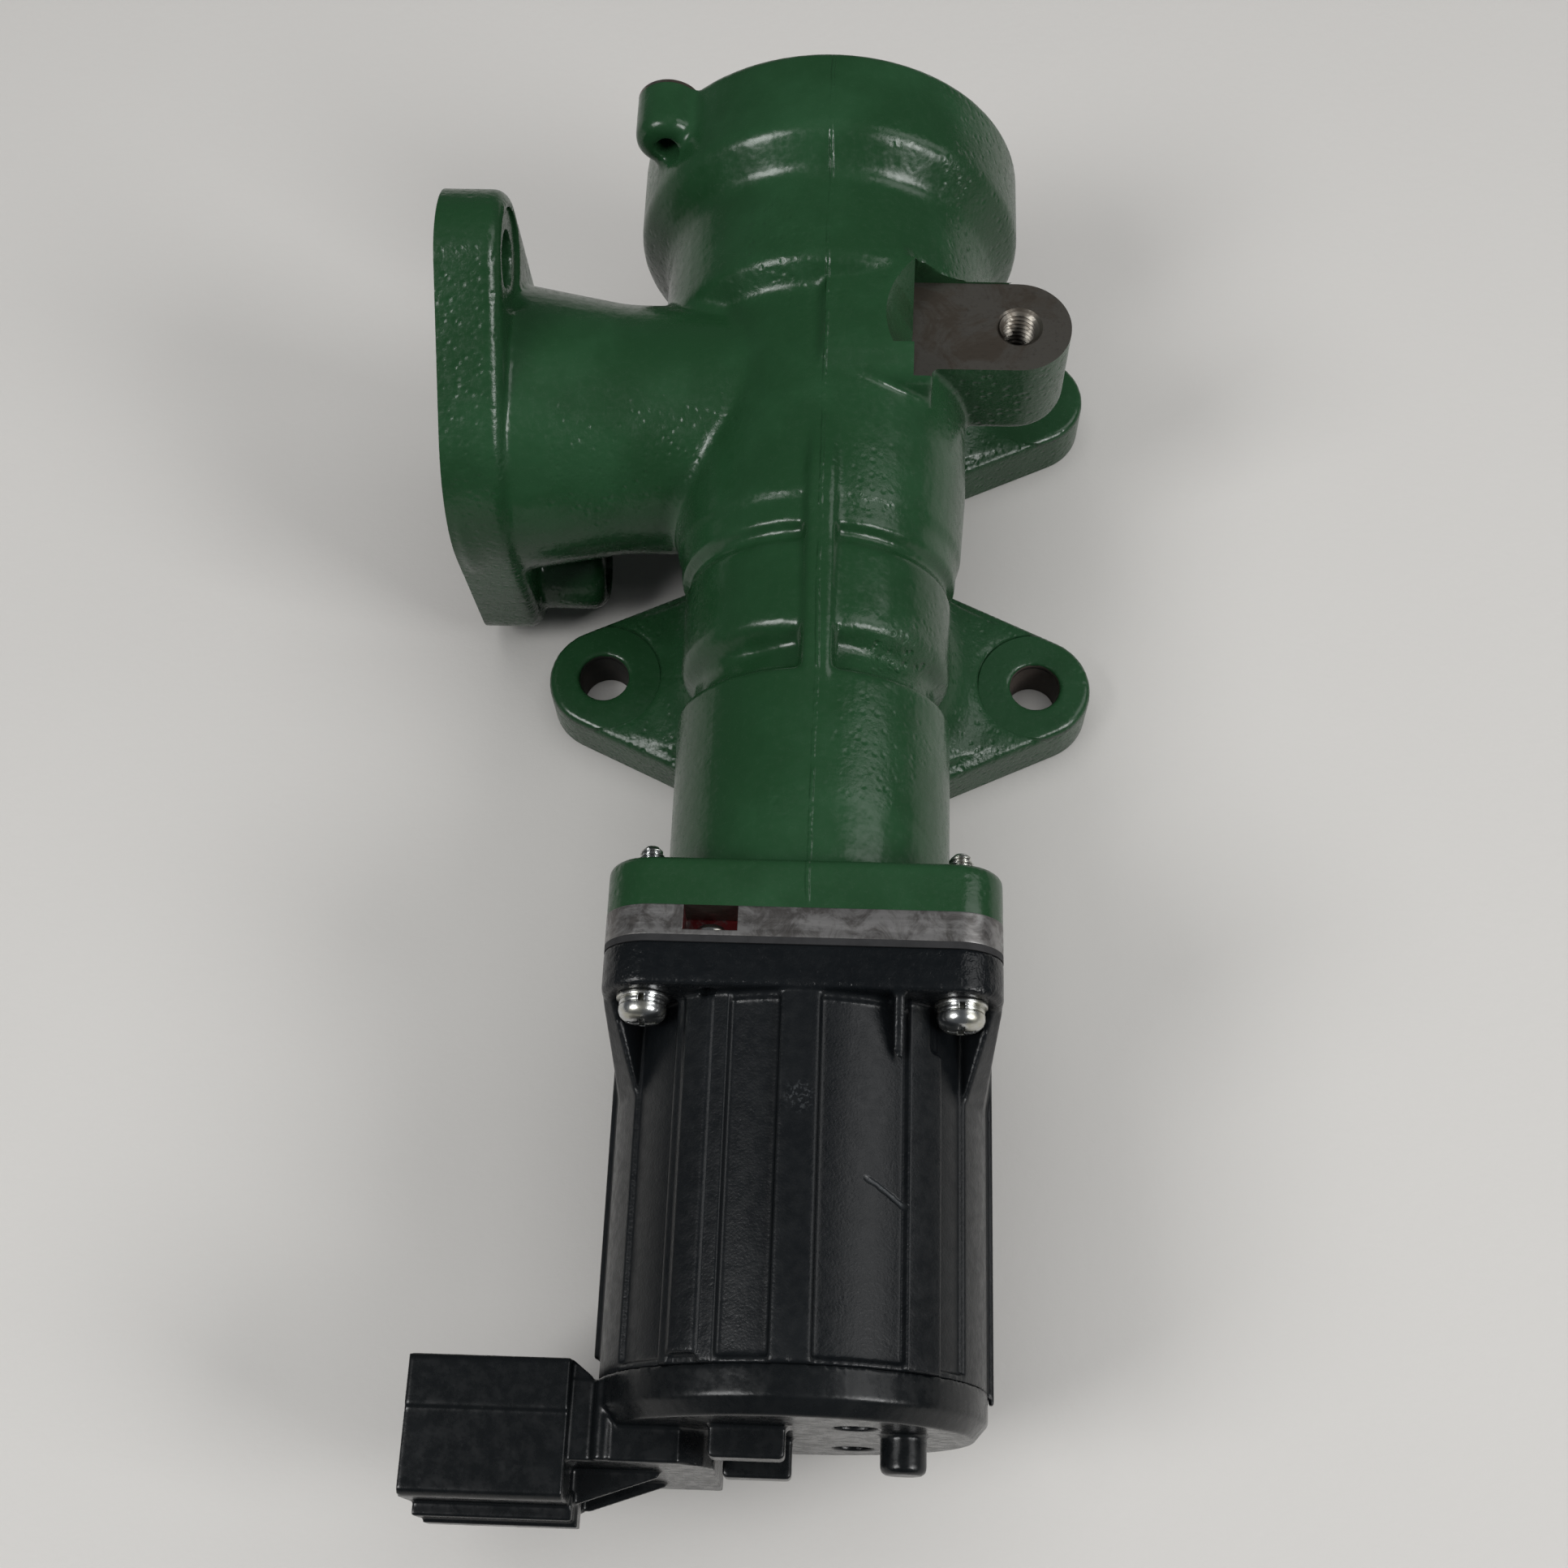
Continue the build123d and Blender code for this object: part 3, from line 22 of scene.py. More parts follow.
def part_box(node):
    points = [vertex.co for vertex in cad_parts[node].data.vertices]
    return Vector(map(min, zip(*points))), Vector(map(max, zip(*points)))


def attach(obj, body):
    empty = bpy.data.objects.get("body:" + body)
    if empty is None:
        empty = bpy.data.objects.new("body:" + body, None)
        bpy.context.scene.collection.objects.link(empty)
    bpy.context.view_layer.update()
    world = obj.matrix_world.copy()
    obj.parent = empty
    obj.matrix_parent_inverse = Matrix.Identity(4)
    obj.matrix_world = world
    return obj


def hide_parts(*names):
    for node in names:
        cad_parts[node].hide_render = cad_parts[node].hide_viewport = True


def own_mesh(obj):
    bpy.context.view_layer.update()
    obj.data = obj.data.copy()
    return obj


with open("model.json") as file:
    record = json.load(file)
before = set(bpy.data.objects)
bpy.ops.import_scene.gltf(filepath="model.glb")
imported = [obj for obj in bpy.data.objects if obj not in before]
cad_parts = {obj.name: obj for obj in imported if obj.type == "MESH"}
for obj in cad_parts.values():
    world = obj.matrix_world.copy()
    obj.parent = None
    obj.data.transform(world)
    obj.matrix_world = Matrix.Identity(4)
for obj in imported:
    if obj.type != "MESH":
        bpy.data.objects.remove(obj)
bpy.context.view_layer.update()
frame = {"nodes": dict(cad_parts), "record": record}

LOG = logging.getLogger("valve")
MM = 0.001
AXIS_HEIGHT = 49.0
HOUSING = "housing"

Colour = tuple[float, float, float]
Socket = bpy.types.NodeSocket
Point = Sequence[float]
Plane = tuple[int, float, int]


# ---------------------------------------------------------------- shading
class Shader:
    """A material's node tree, built one named step at a time."""

    def __init__(self, name: str) -> None:
        """Start an empty material with one principled surface.

        Args:
            name: Name of the material.
        """
        self.material = bpy.data.materials.new(name)
        self.material.use_nodes = True
        self.tree = self.material.node_tree
        self.tree.nodes.clear()
        self.surface = self.tree.nodes.new("ShaderNodeBsdfPrincipled")
        output = self.tree.nodes.new("ShaderNodeOutputMaterial")
        self.tree.links.new(self.surface.outputs["BSDF"], output.inputs["Surface"])
        self.place = self.tree.nodes.new("ShaderNodeTexCoord").outputs["Object"]

    def feed(self, socket: Socket, value: Any) -> None:
        """Link a socket or set its constant.

        Args:
            socket: Input that takes the value.
            value: Another node's output, a number, or a colour.
        """
        if isinstance(value, bpy.types.NodeSocket):
            self.tree.links.new(value, socket)
        elif isinstance(value, tuple) and len(value) == 3 and socket.type == "RGBA":
            socket.default_value = (*value, 1.0)
        else:
            socket.default_value = value

    def fill(self, node: bpy.types.Node, values: dict[str, Any]) -> bpy.types.Node:
        """Feed several inputs of a node.

        Args:
            node: Node that takes the values.
            values: Values by input name, with an underscore for each space.

        Returns:
            The node.
        """
        for name, value in values.items():
            self.feed(node.inputs[name.replace("_", " ")], value)
        return node

    def set(self, **values: Any) -> None:
        """Set inputs of the surface; an underscore in a name stands for a space."""
        self.fill(self.surface, values)

    def node(self, kind: str, **values: Any) -> bpy.types.Node:
        """Add a node of a kind, with its inputs fed by name."""
        return self.fill(self.tree.nodes.new(f"ShaderNode{kind}"), values)

    def math(self, operation: str, a: Any, b: Any = 0.0) -> Socket:
        """One arithmetic step.

        Args:
            operation: Blender's name of the operation.
            a: First value.
            b: Second value.

        Returns:
            The result.
        """
        node = self.node("Math")
        node.operation = operation
        self.feed(node.inputs[0], a)
        self.feed(node.inputs[1], b)
        return node.outputs[0]

    def mapped(self, scale: Sequence[float]) -> Socket:
        """Object coordinates with a factor on each axis."""
        return self.node("Mapping", Vector=self.place, Scale=scale).outputs[0]

    def noise(self, scale: float, detail: float = 3.0, rough: float = 0.55,
              at: Socket | None = None, twist: float = 0.0) -> Socket:
        """Cloudy values round 0.5, with a scale in waves per metre."""
        return self.node("TexNoise", Vector=at or self.place, Scale=scale, Detail=detail, Roughness=rough,
                         Distortion=twist).outputs["Fac"]

    def cells(self, scale: float) -> Socket:
        """Distance to scattered points, with a scale in points per metre."""
        return self.node("TexVoronoi", Vector=self.place, Scale=scale).outputs["Distance"]

    def ramp(self, value: Any, low: float, high: float, start: float = 0.0, end: float = 1.0,
             smooth: bool = True) -> Socket:
        """Map a range of values to another one and clamp it.

        Args:
            value: Input value.
            low: Value that becomes start.
            high: Value that becomes end.
            start: Result at low.
            end: Result at high.
            smooth: Ease in and out.

        Returns:
            The mapped value.
        """
        node = self.node("MapRange", Value=value, From_Min=low, From_Max=high, To_Min=start, To_Max=end)
        node.interpolation_type = "SMOOTHSTEP" if smooth else "LINEAR"
        return node.outputs[0]

    def between(self, kind: str, first: int, amount: Any, a: Any, b: Any) -> bpy.types.Node:
        """Mix two values.

        Args:
            kind: Blender's name of the type of the values.
            first: Index of the input that takes the first value of that type.
            amount: 0 gives a and 1 gives b.
            a: First value.
            b: Second value.

        Returns:
            The node.
        """
        node = self.node("Mix")
        node.data_type = kind
        for index, value in ((0, amount), (first, a), (first + 1, b)):
            self.feed(node.inputs[index], value)
        return node

    def blend(self, amount: Any, a: Any, b: Any) -> Socket:
        """Colour between two colours, the first one at an amount of 0."""
        return self.between("RGBA", 6, amount, a, b).outputs[2]

    def mix(self, amount: Any, a: Any, b: Any) -> Socket:
        """Number between two numbers, the first one at an amount of 0."""
        return self.between("FLOAT", 2, amount, a, b).outputs[0]

    def bump(self, height: Any, depth: float, under: Socket | None = None, strength: float = 1.0) -> Socket:
        """Surface relief from a height.

        Args:
            height: Height from 0 to 1.
            depth: Metres that a height of 1 stands for.
            under: Relief below this one.
            strength: Share of the relief that is used.

        Returns:
            The changed normal.
        """
        node = self.node("Bump", Strength=strength, Distance=depth, Height=height)
        if under is not None:
            self.feed(node.inputs["Normal"], under)
        return node.outputs[0]

    def soft_edge(self, radius: float) -> Socket:
        """Round the edges in the surface's normal.

        Args:
            radius: Radius of the rounding, in metres.

        Returns:
            The changed normal.
        """
        node = self.node("Bevel", Radius=radius)
        node.samples = 6
        return node.outputs[0]

    def split(self, vector: Socket) -> tuple[Socket, Socket, Socket]:
        """X, Y and Z of a vector."""
        parts = self.node("SeparateXYZ", Vector=vector).outputs
        return parts[0], parts[1], parts[2]

    def axes(self) -> tuple[Socket, Socket, Socket]:
        """X, Y and Z of the object coordinates, in metres."""
        return self.split(self.place)

    def facing(self) -> tuple[Socket, Socket, Socket]:
        """X, Y and Z of the surface's own direction."""
        return self.split(self.node("NewGeometry").outputs["Normal"])

    def away(self, *pairs: tuple[Any, float]) -> Socket:
        """Distance of two or three coordinates from given places.

        Args:
            pairs: Coordinate and place of each direction.

        Returns:
            The distance in metres.
        """
        total: Any = 0.0
        for value, place in pairs:
            gap = self.math("SUBTRACT", value, place)
            total = self.math("ADD", total, self.math("MULTIPLY", gap, gap))
        return self.math("SQRT", total)

    def below(self, value: Any, limit: Any) -> Socket:
        """1 where a value is under a limit."""
        return self.math("LESS_THAN", value, limit)

    def above(self, value: Any, limit: Any) -> Socket:
        """1 where a value is over a limit."""
        return self.math("GREATER_THAN", value, limit)

    def size(self, value: Any) -> Socket:
        """A value without its sign."""
        return self.math("ABSOLUTE", value)

    def rest(self, share: Any) -> Socket:
        """What a share leaves of 1."""
        return self.math("SUBTRACT", 1.0, share)

    def most(self, *values: Any) -> Socket:
        """Largest of several values."""
        return functools.reduce(functools.partial(self.math, "MAXIMUM"), values)

    def times(self, *values: Any) -> Socket:
        """Product of several values."""
        return functools.reduce(functools.partial(self.math, "MULTIPLY"), values)

    def plane(self, coordinate: Socket, place: float, facing: Socket, sign: int) -> Socket:
        """1 on a flat machined face.

        Args:
            coordinate: Coordinate across the face, in metres.
            place: Where the face lies, in millimetres.
            facing: The surface direction's part along that coordinate.
            sign: 1 where the face looks to the plus side, -1 where to the minus side.

        Returns:
            The mask.
        """
        near = self.below(self.size(self.math("SUBTRACT", coordinate, place * MM)), 0.12 * MM)
        return self.times(near, self.above(self.math("MULTIPLY", facing, float(sign)), 0.92))


@dataclass(frozen=True)
class GreenCasting:
    """Gloss paint over cast iron, with the bare machined faces and the raw iron bores, darkened partly as
    painted shade.
    """

    paint: Colour = (0.0098, 0.0385, 0.0140)
    thick_paint: Colour = (0.0150, 0.0530, 0.0215)
    cut: Colour = (0.17, 0.158, 0.138)
    stain: Colour = (0.075, 0.060, 0.046)
    speck: Colour = (0.05, 0.042, 0.034)
    # Raw iron of the bores and drilled holes, darkened to near black partly as painted shade inside the
    # holes.
    raw_iron_and_shade: Colour = (0.022, 0.022, 0.019)
    scale: Colour = (0.075, 0.060, 0.050)
    gloss: float = 0.21
    specular: float = 0.38
    spring_room: float = 22.2
    near_chamber: float = 21.4
    chamber_start: float = -86.0
    chamber_steps: tuple[tuple[float, float], ...] = ((-22.2, 3.2), (29.0, 2.9), (53.2, 6.1))
    bore_start: float = -114.6
    bell_end: float = 65.5
    near_face: float = -115.0
    inlet_face: float = -73.5
    pad_height: float = 70.0
    pad_start: float = 16.0
    branch: tuple[float, float] = (2.3, 50.0)
    branch_bore: float = 20.8
    ports: tuple[tuple[float, float], ...] = ((-37.0, 15.2), (37.0, 15.4))
    foot_hole: tuple[float, float] = (46.5, 37.0)
    spot_radius: float = 12.4
    lug_hole: tuple[float, float] = (38.8, 13.6)
    seam_x: float = 0.6

    def from_bolts(self, s: Shader) -> Socket:
        """Distance from the axis of the nearest base bolt."""
        x, y, _ = s.axes()
        return s.away((s.size(x), self.foot_hole[0] * MM), (s.size(y), self.foot_hole[1] * MM))

    def bores(self, s: Shader) -> Socket:
        """Mask of the chambers, ports and drilled holes.

        Args:
            s: Material being built.

        Returns:
            The mask.
        """
        x, y, z = s.axes()
        radius = s.away((x, 0.0), (z, AXIS_HEIGHT * MM))
        limit: Any = self.spring_room * MM
        for start, step in ((self.chamber_start, self.near_chamber - self.spring_room), *self.chamber_steps):
            wall = s.ramp(y, (start - 0.2) * MM, (start + 0.2) * MM, 0.0, step * MM, False)
            limit = s.math("ADD", limit, wall)
        within_ends = s.times(s.above(y, self.bore_start * MM), s.below(y, self.bell_end * MM))
        chambers = s.times(s.below(radius, limit), within_ends)
        middle = s.away((y, self.branch[0] * MM), (z, self.branch[1] * MM))
        branch = s.times(s.below(middle, self.branch_bore * MM), s.below(x, -0.018))
        holes = [s.below(s.away((x, 0.0), (y, place * MM)), size * MM) for place, size in self.ports]
        ports = s.times(s.most(*holes), s.below(z, 0.030))
        bolts = s.times(s.below(self.from_bolts(s), 0.00535), s.below(z, 0.0125))
        return s.most(chambers, branch, ports, bolts)

    def cut_faces(self, s: Shader) -> Socket:
        """Mask of the flat machined faces.

        Args:
            s: Material being built.

        Returns:
            The mask.
        """
        x, y, z = s.axes()
        nx, ny, nz = s.facing()
        pad = s.times(s.plane(z, self.pad_height, nz, 1), s.above(x, self.pad_start * MM))
        bosses = s.times(s.above(y, (self.bell_end + 0.1) * MM), s.above(z, 0.014))
        hole = s.away((x, self.lug_hole[0] * MM), (y, self.lug_hole[1] * MM))
        tapped = s.times(s.below(hole, 0.0050), s.above(z, 0.050))
        return s.most(pad, s.plane(z, 0.0, nz, -1), s.plane(x, self.inlet_face, nx, -1),
                      s.plane(y, self.bell_end, ny, 1), bosses, tapped, s.plane(y, self.near_face, ny, -1))

    def spot_faces(self, s: Shader) -> Socket:
        """Mask of the round faces under the base bolts' heads.

        Args:
            s: Material being built.

        Returns:
            The mask.
        """
        inner, outer = (self.spot_radius - 0.3) * MM, (self.spot_radius + 0.3) * MM
        edge = s.ramp(self.from_bolts(s), inner, outer, 1.0, 0.0)
        return s.times(edge, s.ramp(s.axes()[2], 0.0100, 0.0108))

    def grainy(self, s: Shader) -> Socket:
        """How much cast grain shows through the paint, from 0 to 1.

        Args:
            s: Material being built.

        Returns:
            The amount.
        """
        x, y, z = s.axes()
        flange = s.ramp(x, -0.0600, -0.0625, 0.0, 0.32)
        lug = s.times(s.ramp(x, 0.021, 0.027), s.ramp(z, 0.046, 0.050), s.ramp(y, -0.004, 0.0, 0.0, 0.6))
        feet = s.times(s.ramp(z, 0.026, 0.012, 0.0, 0.55), s.rest(self.spot_faces(s)))
        pocket = s.ramp(s.away((x, 0.016), (y, -0.060), (z, 0.066)), 0.005, 0.011, 1.0, 0.0)
        patch = s.ramp(s.noise(42.0, 2.0, 0.5), 0.50, 0.66, 0.05, 0.38)
        return s.most(flange, lug, feet, pocket, patch)

    def build(self) -> bpy.types.Material:
        """Build the finish.

        Returns:
            The material.
        """
        s = Shader("green_cast_body")
        x, _, z = s.axes()
        cut = self.cut_faces(s)
        bore = s.times(self.bores(s), s.rest(cut))
        bare = s.most(cut, bore)
        cloud = s.noise(34.0, 4.0, 0.6)
        grain = s.noise(820.0, 4.0, 0.62)
        peel = s.noise(330.0, 2.0, 0.5)
        pits = s.ramp(s.cells(520.0), 0.05, 0.42, 0.0, 1.0)
        amount = self.grainy(s)
        tone = s.blend(s.ramp(cloud, 0.38, 0.68), self.paint, self.thick_paint)
        blot = s.ramp(s.noise(95.0, 5.0, 0.68, twist=0.8), 0.46, 0.62)
        metal = s.blend(s.times(blot, 0.8), self.cut, self.stain)
        specks = s.times(s.ramp(s.noise(900.0, 3.0, 0.7), 0.55, 0.70), 0.35)
        metal = s.blend(specks, metal, self.speck)
        # Bores and drilled holes take the near-black raw iron colour: partly scale, partly painted shade.
        raw_iron_and_shade = s.blend(s.ramp(cloud, 0.4, 0.65), self.raw_iron_and_shade, self.scale)
        tone = s.blend(bore, s.blend(cut, tone, metal), raw_iron_and_shade)
        wobble = s.math("MULTIPLY", s.math("SUBTRACT", s.noise(60.0, 3.0, 0.6), 0.5), 0.0016)
        seam = s.size(s.math("SUBTRACT", s.math("ADD", x, wobble), self.seam_x * MM))
        broken = s.ramp(s.noise(150.0, 3.0, 0.7), 0.38, 0.62, 0.15, 1.0)
        seam = s.times(s.ramp(seam, 0.00012, 0.00055, 1.0, 0.0), broken)
        lines = s.noise(1.0, 3.0, 0.6, s.mapped((70.0, 1500.0, 1500.0)))
        painted = s.rest(bare)
        height = s.times(painted, s.math("ADD", s.times(grain, amount), s.times(pits, amount, 0.8)))
        normal = s.bump(s.times(painted, peel), 0.00011)
        normal = s.bump(s.times(self.spot_faces(s), s.ramp(z, 0.0130, 0.0126)), 0.0007, normal)
        normal = s.bump(height, 0.00030, normal, 0.9)
        normal = s.bump(s.times(painted, seam), 0.00022, normal)
        normal = s.bump(s.times(cut, lines), 0.00003, normal)
        sheen = s.ramp(grain, 0.3, 0.75, self.gloss - 0.04, self.gloss + 0.10)
        sheen = s.math("ADD", sheen, s.times(amount, 0.06))
        worn = s.ramp(blot, 0.0, 1.0, 0.32, 0.50)
        rough = s.mix(bore, s.mix(cut, sheen, worn), 0.68)
        s.set(Base_Color=tone, Metallic=s.mix(bore, s.times(cut, 0.85), 0.25), Roughness=rough, Normal=normal,
              Specular_IOR_Level=self.specular)
        return s.material


@dataclass(frozen=True)
class MachinedMetal:
    """Cut metal with tool lines, stains and thin rust."""

    name: str
    colour: Colour
    stain: Colour
    rough: float = 0.38
    metallic: float = 0.85
    stained: float = 0.5
    line_axis: int = 0

    def tone(self, s: Shader) -> Socket:
        """Stained colour of the metal.

        Args:
            s: Material being built.

        Returns:
            The colour.
        """
        blot = s.noise(190.0, 6.0, 0.72, twist=0.8)
        stain = s.times(s.ramp(blot, 0.62 - 0.3 * self.stained, 0.78 - 0.2 * self.stained), 0.85)
        dark = tuple(0.55 * part for part in self.colour)
        spots = s.times(s.ramp(s.noise(520.0, 3.0, 0.6), 0.56, 0.7), 0.45)
        return s.blend(spots, s.blend(stain, self.colour, self.stain), dark)

    def finish(self, s: Shader, tone: Socket) -> bpy.types.Material:
        """Set the surface.

        Args:
            s: Material being built.
            tone: Its colour.

        Returns:
            The material.
        """
        stretch = [1100.0, 1100.0, 1100.0]
        stretch[self.line_axis] = 60.0
        lines = s.noise(1.0, 3.0, 0.6, s.mapped(stretch))
        rough = s.ramp(lines, 0.3, 0.7, self.rough - 0.08, self.rough + 0.12)
        s.set(Base_Color=tone, Metallic=self.metallic, Roughness=rough,
              Normal=s.bump(lines, 0.00004, s.soft_edge(0.0003), 0.6))
        return s.material

    def build(self) -> bpy.types.Material:
        """The material."""
        s = Shader(self.name)
        return self.finish(s, self.tone(s))


@dataclass(frozen=True)
class PlateMetal(MachinedMetal):
    """Stained plate with red paint on the walls of its notch."""

    notch_x: float = -15.6
    notch_half: float = 4.9
    notch_floor: float = 75.0
    notch_top: float = 82.9
    notch_near: float = -120.22
    paint: Colour = (0.16, 0.018, 0.020)

    def build(self) -> bpy.types.Material:
        """Build the finish.

        Returns:
            The material.
        """
        s = Shader(self.name)
        x, y, z = s.axes()
        side = s.below(s.size(s.math("SUBTRACT", x, self.notch_x * MM)), self.notch_half * MM)
        inside = s.times(side, s.above(z, self.notch_floor * MM), s.above(y, self.notch_near * MM),
                         s.below(z, self.notch_top * MM))
        worn = s.ramp(s.noise(420.0, 4.0, 0.65), 0.36, 0.56, 0.25, 1.0)
        return self.finish(s, s.blend(s.times(inside, worn), self.tone(s), self.paint))


@dataclass(frozen=True)
class BlackCasting:
    """Satin black coat on a pressure die casting, with a scratch and a scuff."""

    colour: Colour = (0.0034, 0.0043, 0.0052)
    worn: Colour = (0.0075, 0.0088, 0.0098)
    dust: Colour = (0.06, 0.063, 0.066)
    scraped: Colour = (0.055, 0.060, 0.064)
    rough: float = 0.33
    specular: float = 0.29
    scratch: tuple[float, float] = (14.6, -161.3)
    scratch_turn: float = 0.57
    scratch_half: float = 4.6
    scuff: tuple[float, float] = (0.3, -147.1)

    def scratch_mask(self, s: Shader) -> Socket:
        """Mask of the scratch on the top.

        Args:
            s: Material being built.

        Returns:
            The mask.
        """
        x, y, z = s.axes()
        cos, sin = math.cos(self.scratch_turn), math.sin(self.scratch_turn)
        dx = s.math("SUBTRACT", x, self.scratch[0] * MM)
        dy = s.math("SUBTRACT", y, self.scratch[1] * MM)
        along = s.math("SUBTRACT", s.math("MULTIPLY", dx, cos), s.math("MULTIPLY", dy, sin))
        aside = s.math("ADD", s.math("MULTIPLY", dx, sin), s.math("MULTIPLY", dy, cos))
        aside = s.math("ADD", aside, s.math("MULTIPLY", s.math("SUBTRACT", s.noise(500.0), 0.5), 0.0006))
        run = s.ramp(s.size(along), self.scratch_half * MM * 0.6, self.scratch_half * MM, 1.0, 0.0)
        return s.times(run, s.ramp(s.size(aside), 0.0001, 0.00062, 1.0, 0.0),
                       s.above(z, 0.070))

    def build(self) -> bpy.types.Material:
        """Build the finish.

        Returns:
            The material.
        """
        s = Shader("black_cast_coat")
        x, y, z = s.axes()
        cloud = s.noise(45.0, 4.0, 0.6)
        fine = s.noise(2300.0, 2.0, 0.5)
        coarse = s.noise(520.0, 3.0, 0.6)
        flange = s.ramp(y, -0.1296, -0.1286)
        dust = s.times(s.ramp(s.noise(1100.0, 5.0, 0.8), 0.68, 0.82), 0.15)
        spot = s.ramp(s.away((x, self.scuff[0] * MM), (y, self.scuff[1] * MM)), 0.0012, 0.0034, 1.0, 0.0)
        scuff = s.times(spot, s.ramp(s.noise(1500.0, 4.0, 0.7), 0.50, 0.62), s.above(z, 0.070))
        scratch = self.scratch_mask(s)
        tone = s.blend(s.ramp(cloud, 0.4, 0.7, 0.0, 0.5), self.colour, self.worn)
        tone = s.blend(dust, tone, self.dust)
        tone = s.blend(s.times(s.most(scuff, scratch), 0.45), tone, self.scraped)
        normal = s.bump(coarse, 0.00012, None, 0.5)
        normal = s.bump(s.times(flange, s.noise(700.0, 3.0, 0.6)), 0.0003, normal, 0.8)
        normal = s.bump(fine, 0.00007, normal, 0.6)
        normal = s.bump(s.rest(scratch), 0.0003, normal)
        rough = s.math("SUBTRACT", s.ramp(coarse, 0.3, 0.7, self.rough - 0.04, self.rough + 0.08),
                       s.times(flange, 0.10))
        s.set(Base_Color=tone, Roughness=rough, Normal=normal, Specular_IOR_Level=self.specular)
        return s.material


@dataclass(frozen=True)
class BlackMoulding:
    """Black moulded plastic, glossy with fine handling marks."""

    colour: Colour = (0.0034, 0.0042, 0.0048)
    cloudy: Colour = (0.0070, 0.0080, 0.0088)
    rubbed: Colour = (0.020, 0.021, 0.022)
    speck: Colour = (0.10, 0.10, 0.105)
    rough: float = 0.27
    specular: float = 0.32

    def build(self) -> bpy.types.Material:
        """Build the finish.

        Returns:
            The material.
        """
        s = Shader("black_moulding")
        cloud = s.noise(60.0, 3.0, 0.6)
        marks = s.noise(380.0, 5.0, 0.7)
        specks = s.ramp(s.cells(300.0), 0.0, 0.05, 1.0, 0.0)
        rubbed = s.times(s.ramp(s.noise(900.0, 4.0, 0.75), 0.58, 0.72), s.ramp(s.noise(70.0, 2.0), 0.5, 0.65))
        tone = s.blend(s.times(specks, 0.22), self.colour, self.speck)
        tone = s.blend(s.times(rubbed, 0.4), tone, self.rubbed)
        tone = s.blend(s.ramp(cloud, 0.45, 0.75, 0.0, 0.5), tone, self.cloudy)
        normal = s.bump(s.noise(500.0, 2.0, 0.5), 0.00009, None, 0.5)
        s.set(Base_Color=tone, Roughness=s.ramp(marks, 0.35, 0.7, self.rough - 0.05, self.rough + 0.10),
              Normal=normal, Specular_IOR_Level=self.specular)
        return s.material


@dataclass(frozen=True)
class PlatedSteel:
    """Bright or dull metal with cloudy plating."""

    name: str
    colour: Colour
    tint: Colour
    rough: float = 0.22

    def build(self) -> bpy.types.Material:
        """Build the finish.

        Returns:
            The material.
        """
        s = Shader(self.name)
        cloud = s.noise(350.0, 3.0, 0.6)
        fine = s.noise(1800.0, 3.0, 0.6)
        tone = s.blend(s.ramp(cloud, 0.4, 0.7), self.colour, self.tint)
        normal = s.bump(fine, 0.00003, s.soft_edge(0.00025), 0.5)
        s.set(Base_Color=tone, Metallic=1.0,
              Roughness=s.ramp(cloud, 0.3, 0.75, self.rough, self.rough + 0.16), Normal=normal)
        return s.material


@dataclass(frozen=True)
class PlainMoulding:
    """Matt material of hidden seals, spools and gaskets."""

    name: str
    colour: Colour
    rough: float = 0.6

    def build(self) -> bpy.types.Material:
        """Build the finish.

        Returns:
            The material.
        """
        s = Shader(self.name)
        cloud = s.noise(300.0, 3.0, 0.6)
        darker = tuple(0.7 * part for part in self.colour)
        tone = s.blend(s.ramp(cloud, 0.4, 0.7), self.colour, darker)
        s.set(Base_Color=tone, Roughness=s.ramp(cloud, 0.3, 0.7, self.rough - 0.05, self.rough + 0.1),
              Normal=s.bump(s.noise(1500.0), 0.00004, None, 0.5))
        return s.material


FINISHES = {
    "green_paint": GreenCasting(),
    "bare_plate": PlateMetal("bare_plate", (0.235, 0.23, 0.226), (0.070, 0.064, 0.060), 0.36, 0.75, 0.75),
    "gasket": PlainMoulding("dark_gasket", (0.012, 0.012, 0.013), 0.7),
    "black_casting": BlackCasting(),
    "black_moulding": BlackMoulding(),
    "zinc": PlatedSteel("bright_zinc", (0.60, 0.61, 0.61), (0.50, 0.49, 0.42), 0.18),
    "terminal": PlatedSteel("tinned_terminal", (0.70, 0.69, 0.66), (0.60, 0.58, 0.54), 0.28),
    "seat_steel": MachinedMetal("seat_steel", (0.50, 0.50, 0.51), (0.12, 0.11, 0.10), 0.32, 0.9, 0.4),
    "valve_steel": MachinedMetal("valve_steel", (0.60, 0.60, 0.61), (0.20, 0.18, 0.16), 0.28, 0.95, 0.3, 1),
    "bronze": MachinedMetal("sintered_bronze", (0.45, 0.29, 0.14), (0.25, 0.15, 0.07), 0.42, 0.9, 0.4),
    "brass": MachinedMetal("turned_brass", (0.65, 0.47, 0.19), (0.40, 0.27, 0.10), 0.28, 0.95, 0.2),
    "seal": PlainMoulding("seal_moulding", (0.02, 0.02, 0.02), 0.55),
    "spring_steel": PlatedSteel("spring_steel", (0.33, 0.33, 0.34), (0.22, 0.21, 0.20), 0.30),
    "magnet": MachinedMetal("sintered_magnet", (0.09, 0.09, 0.10), (0.05, 0.05, 0.05), 0.5, 0.6, 0.3),
    "bearing_steel": PlatedSteel("bearing_steel", (0.62, 0.62, 0.63), (0.55, 0.55, 0.57), 0.18),
    "yoke_steel": PlatedSteel("yoke_steel", (0.45, 0.46, 0.47), (0.38, 0.38, 0.38), 0.34),
    "bobbin": PlainMoulding("spool_moulding", (0.45, 0.43, 0.36), 0.5),
    "copper": MachinedMetal("enamelled_copper", (0.50, 0.20, 0.09), (0.36, 0.13, 0.06), 0.35, 0.8, 0.2),
}


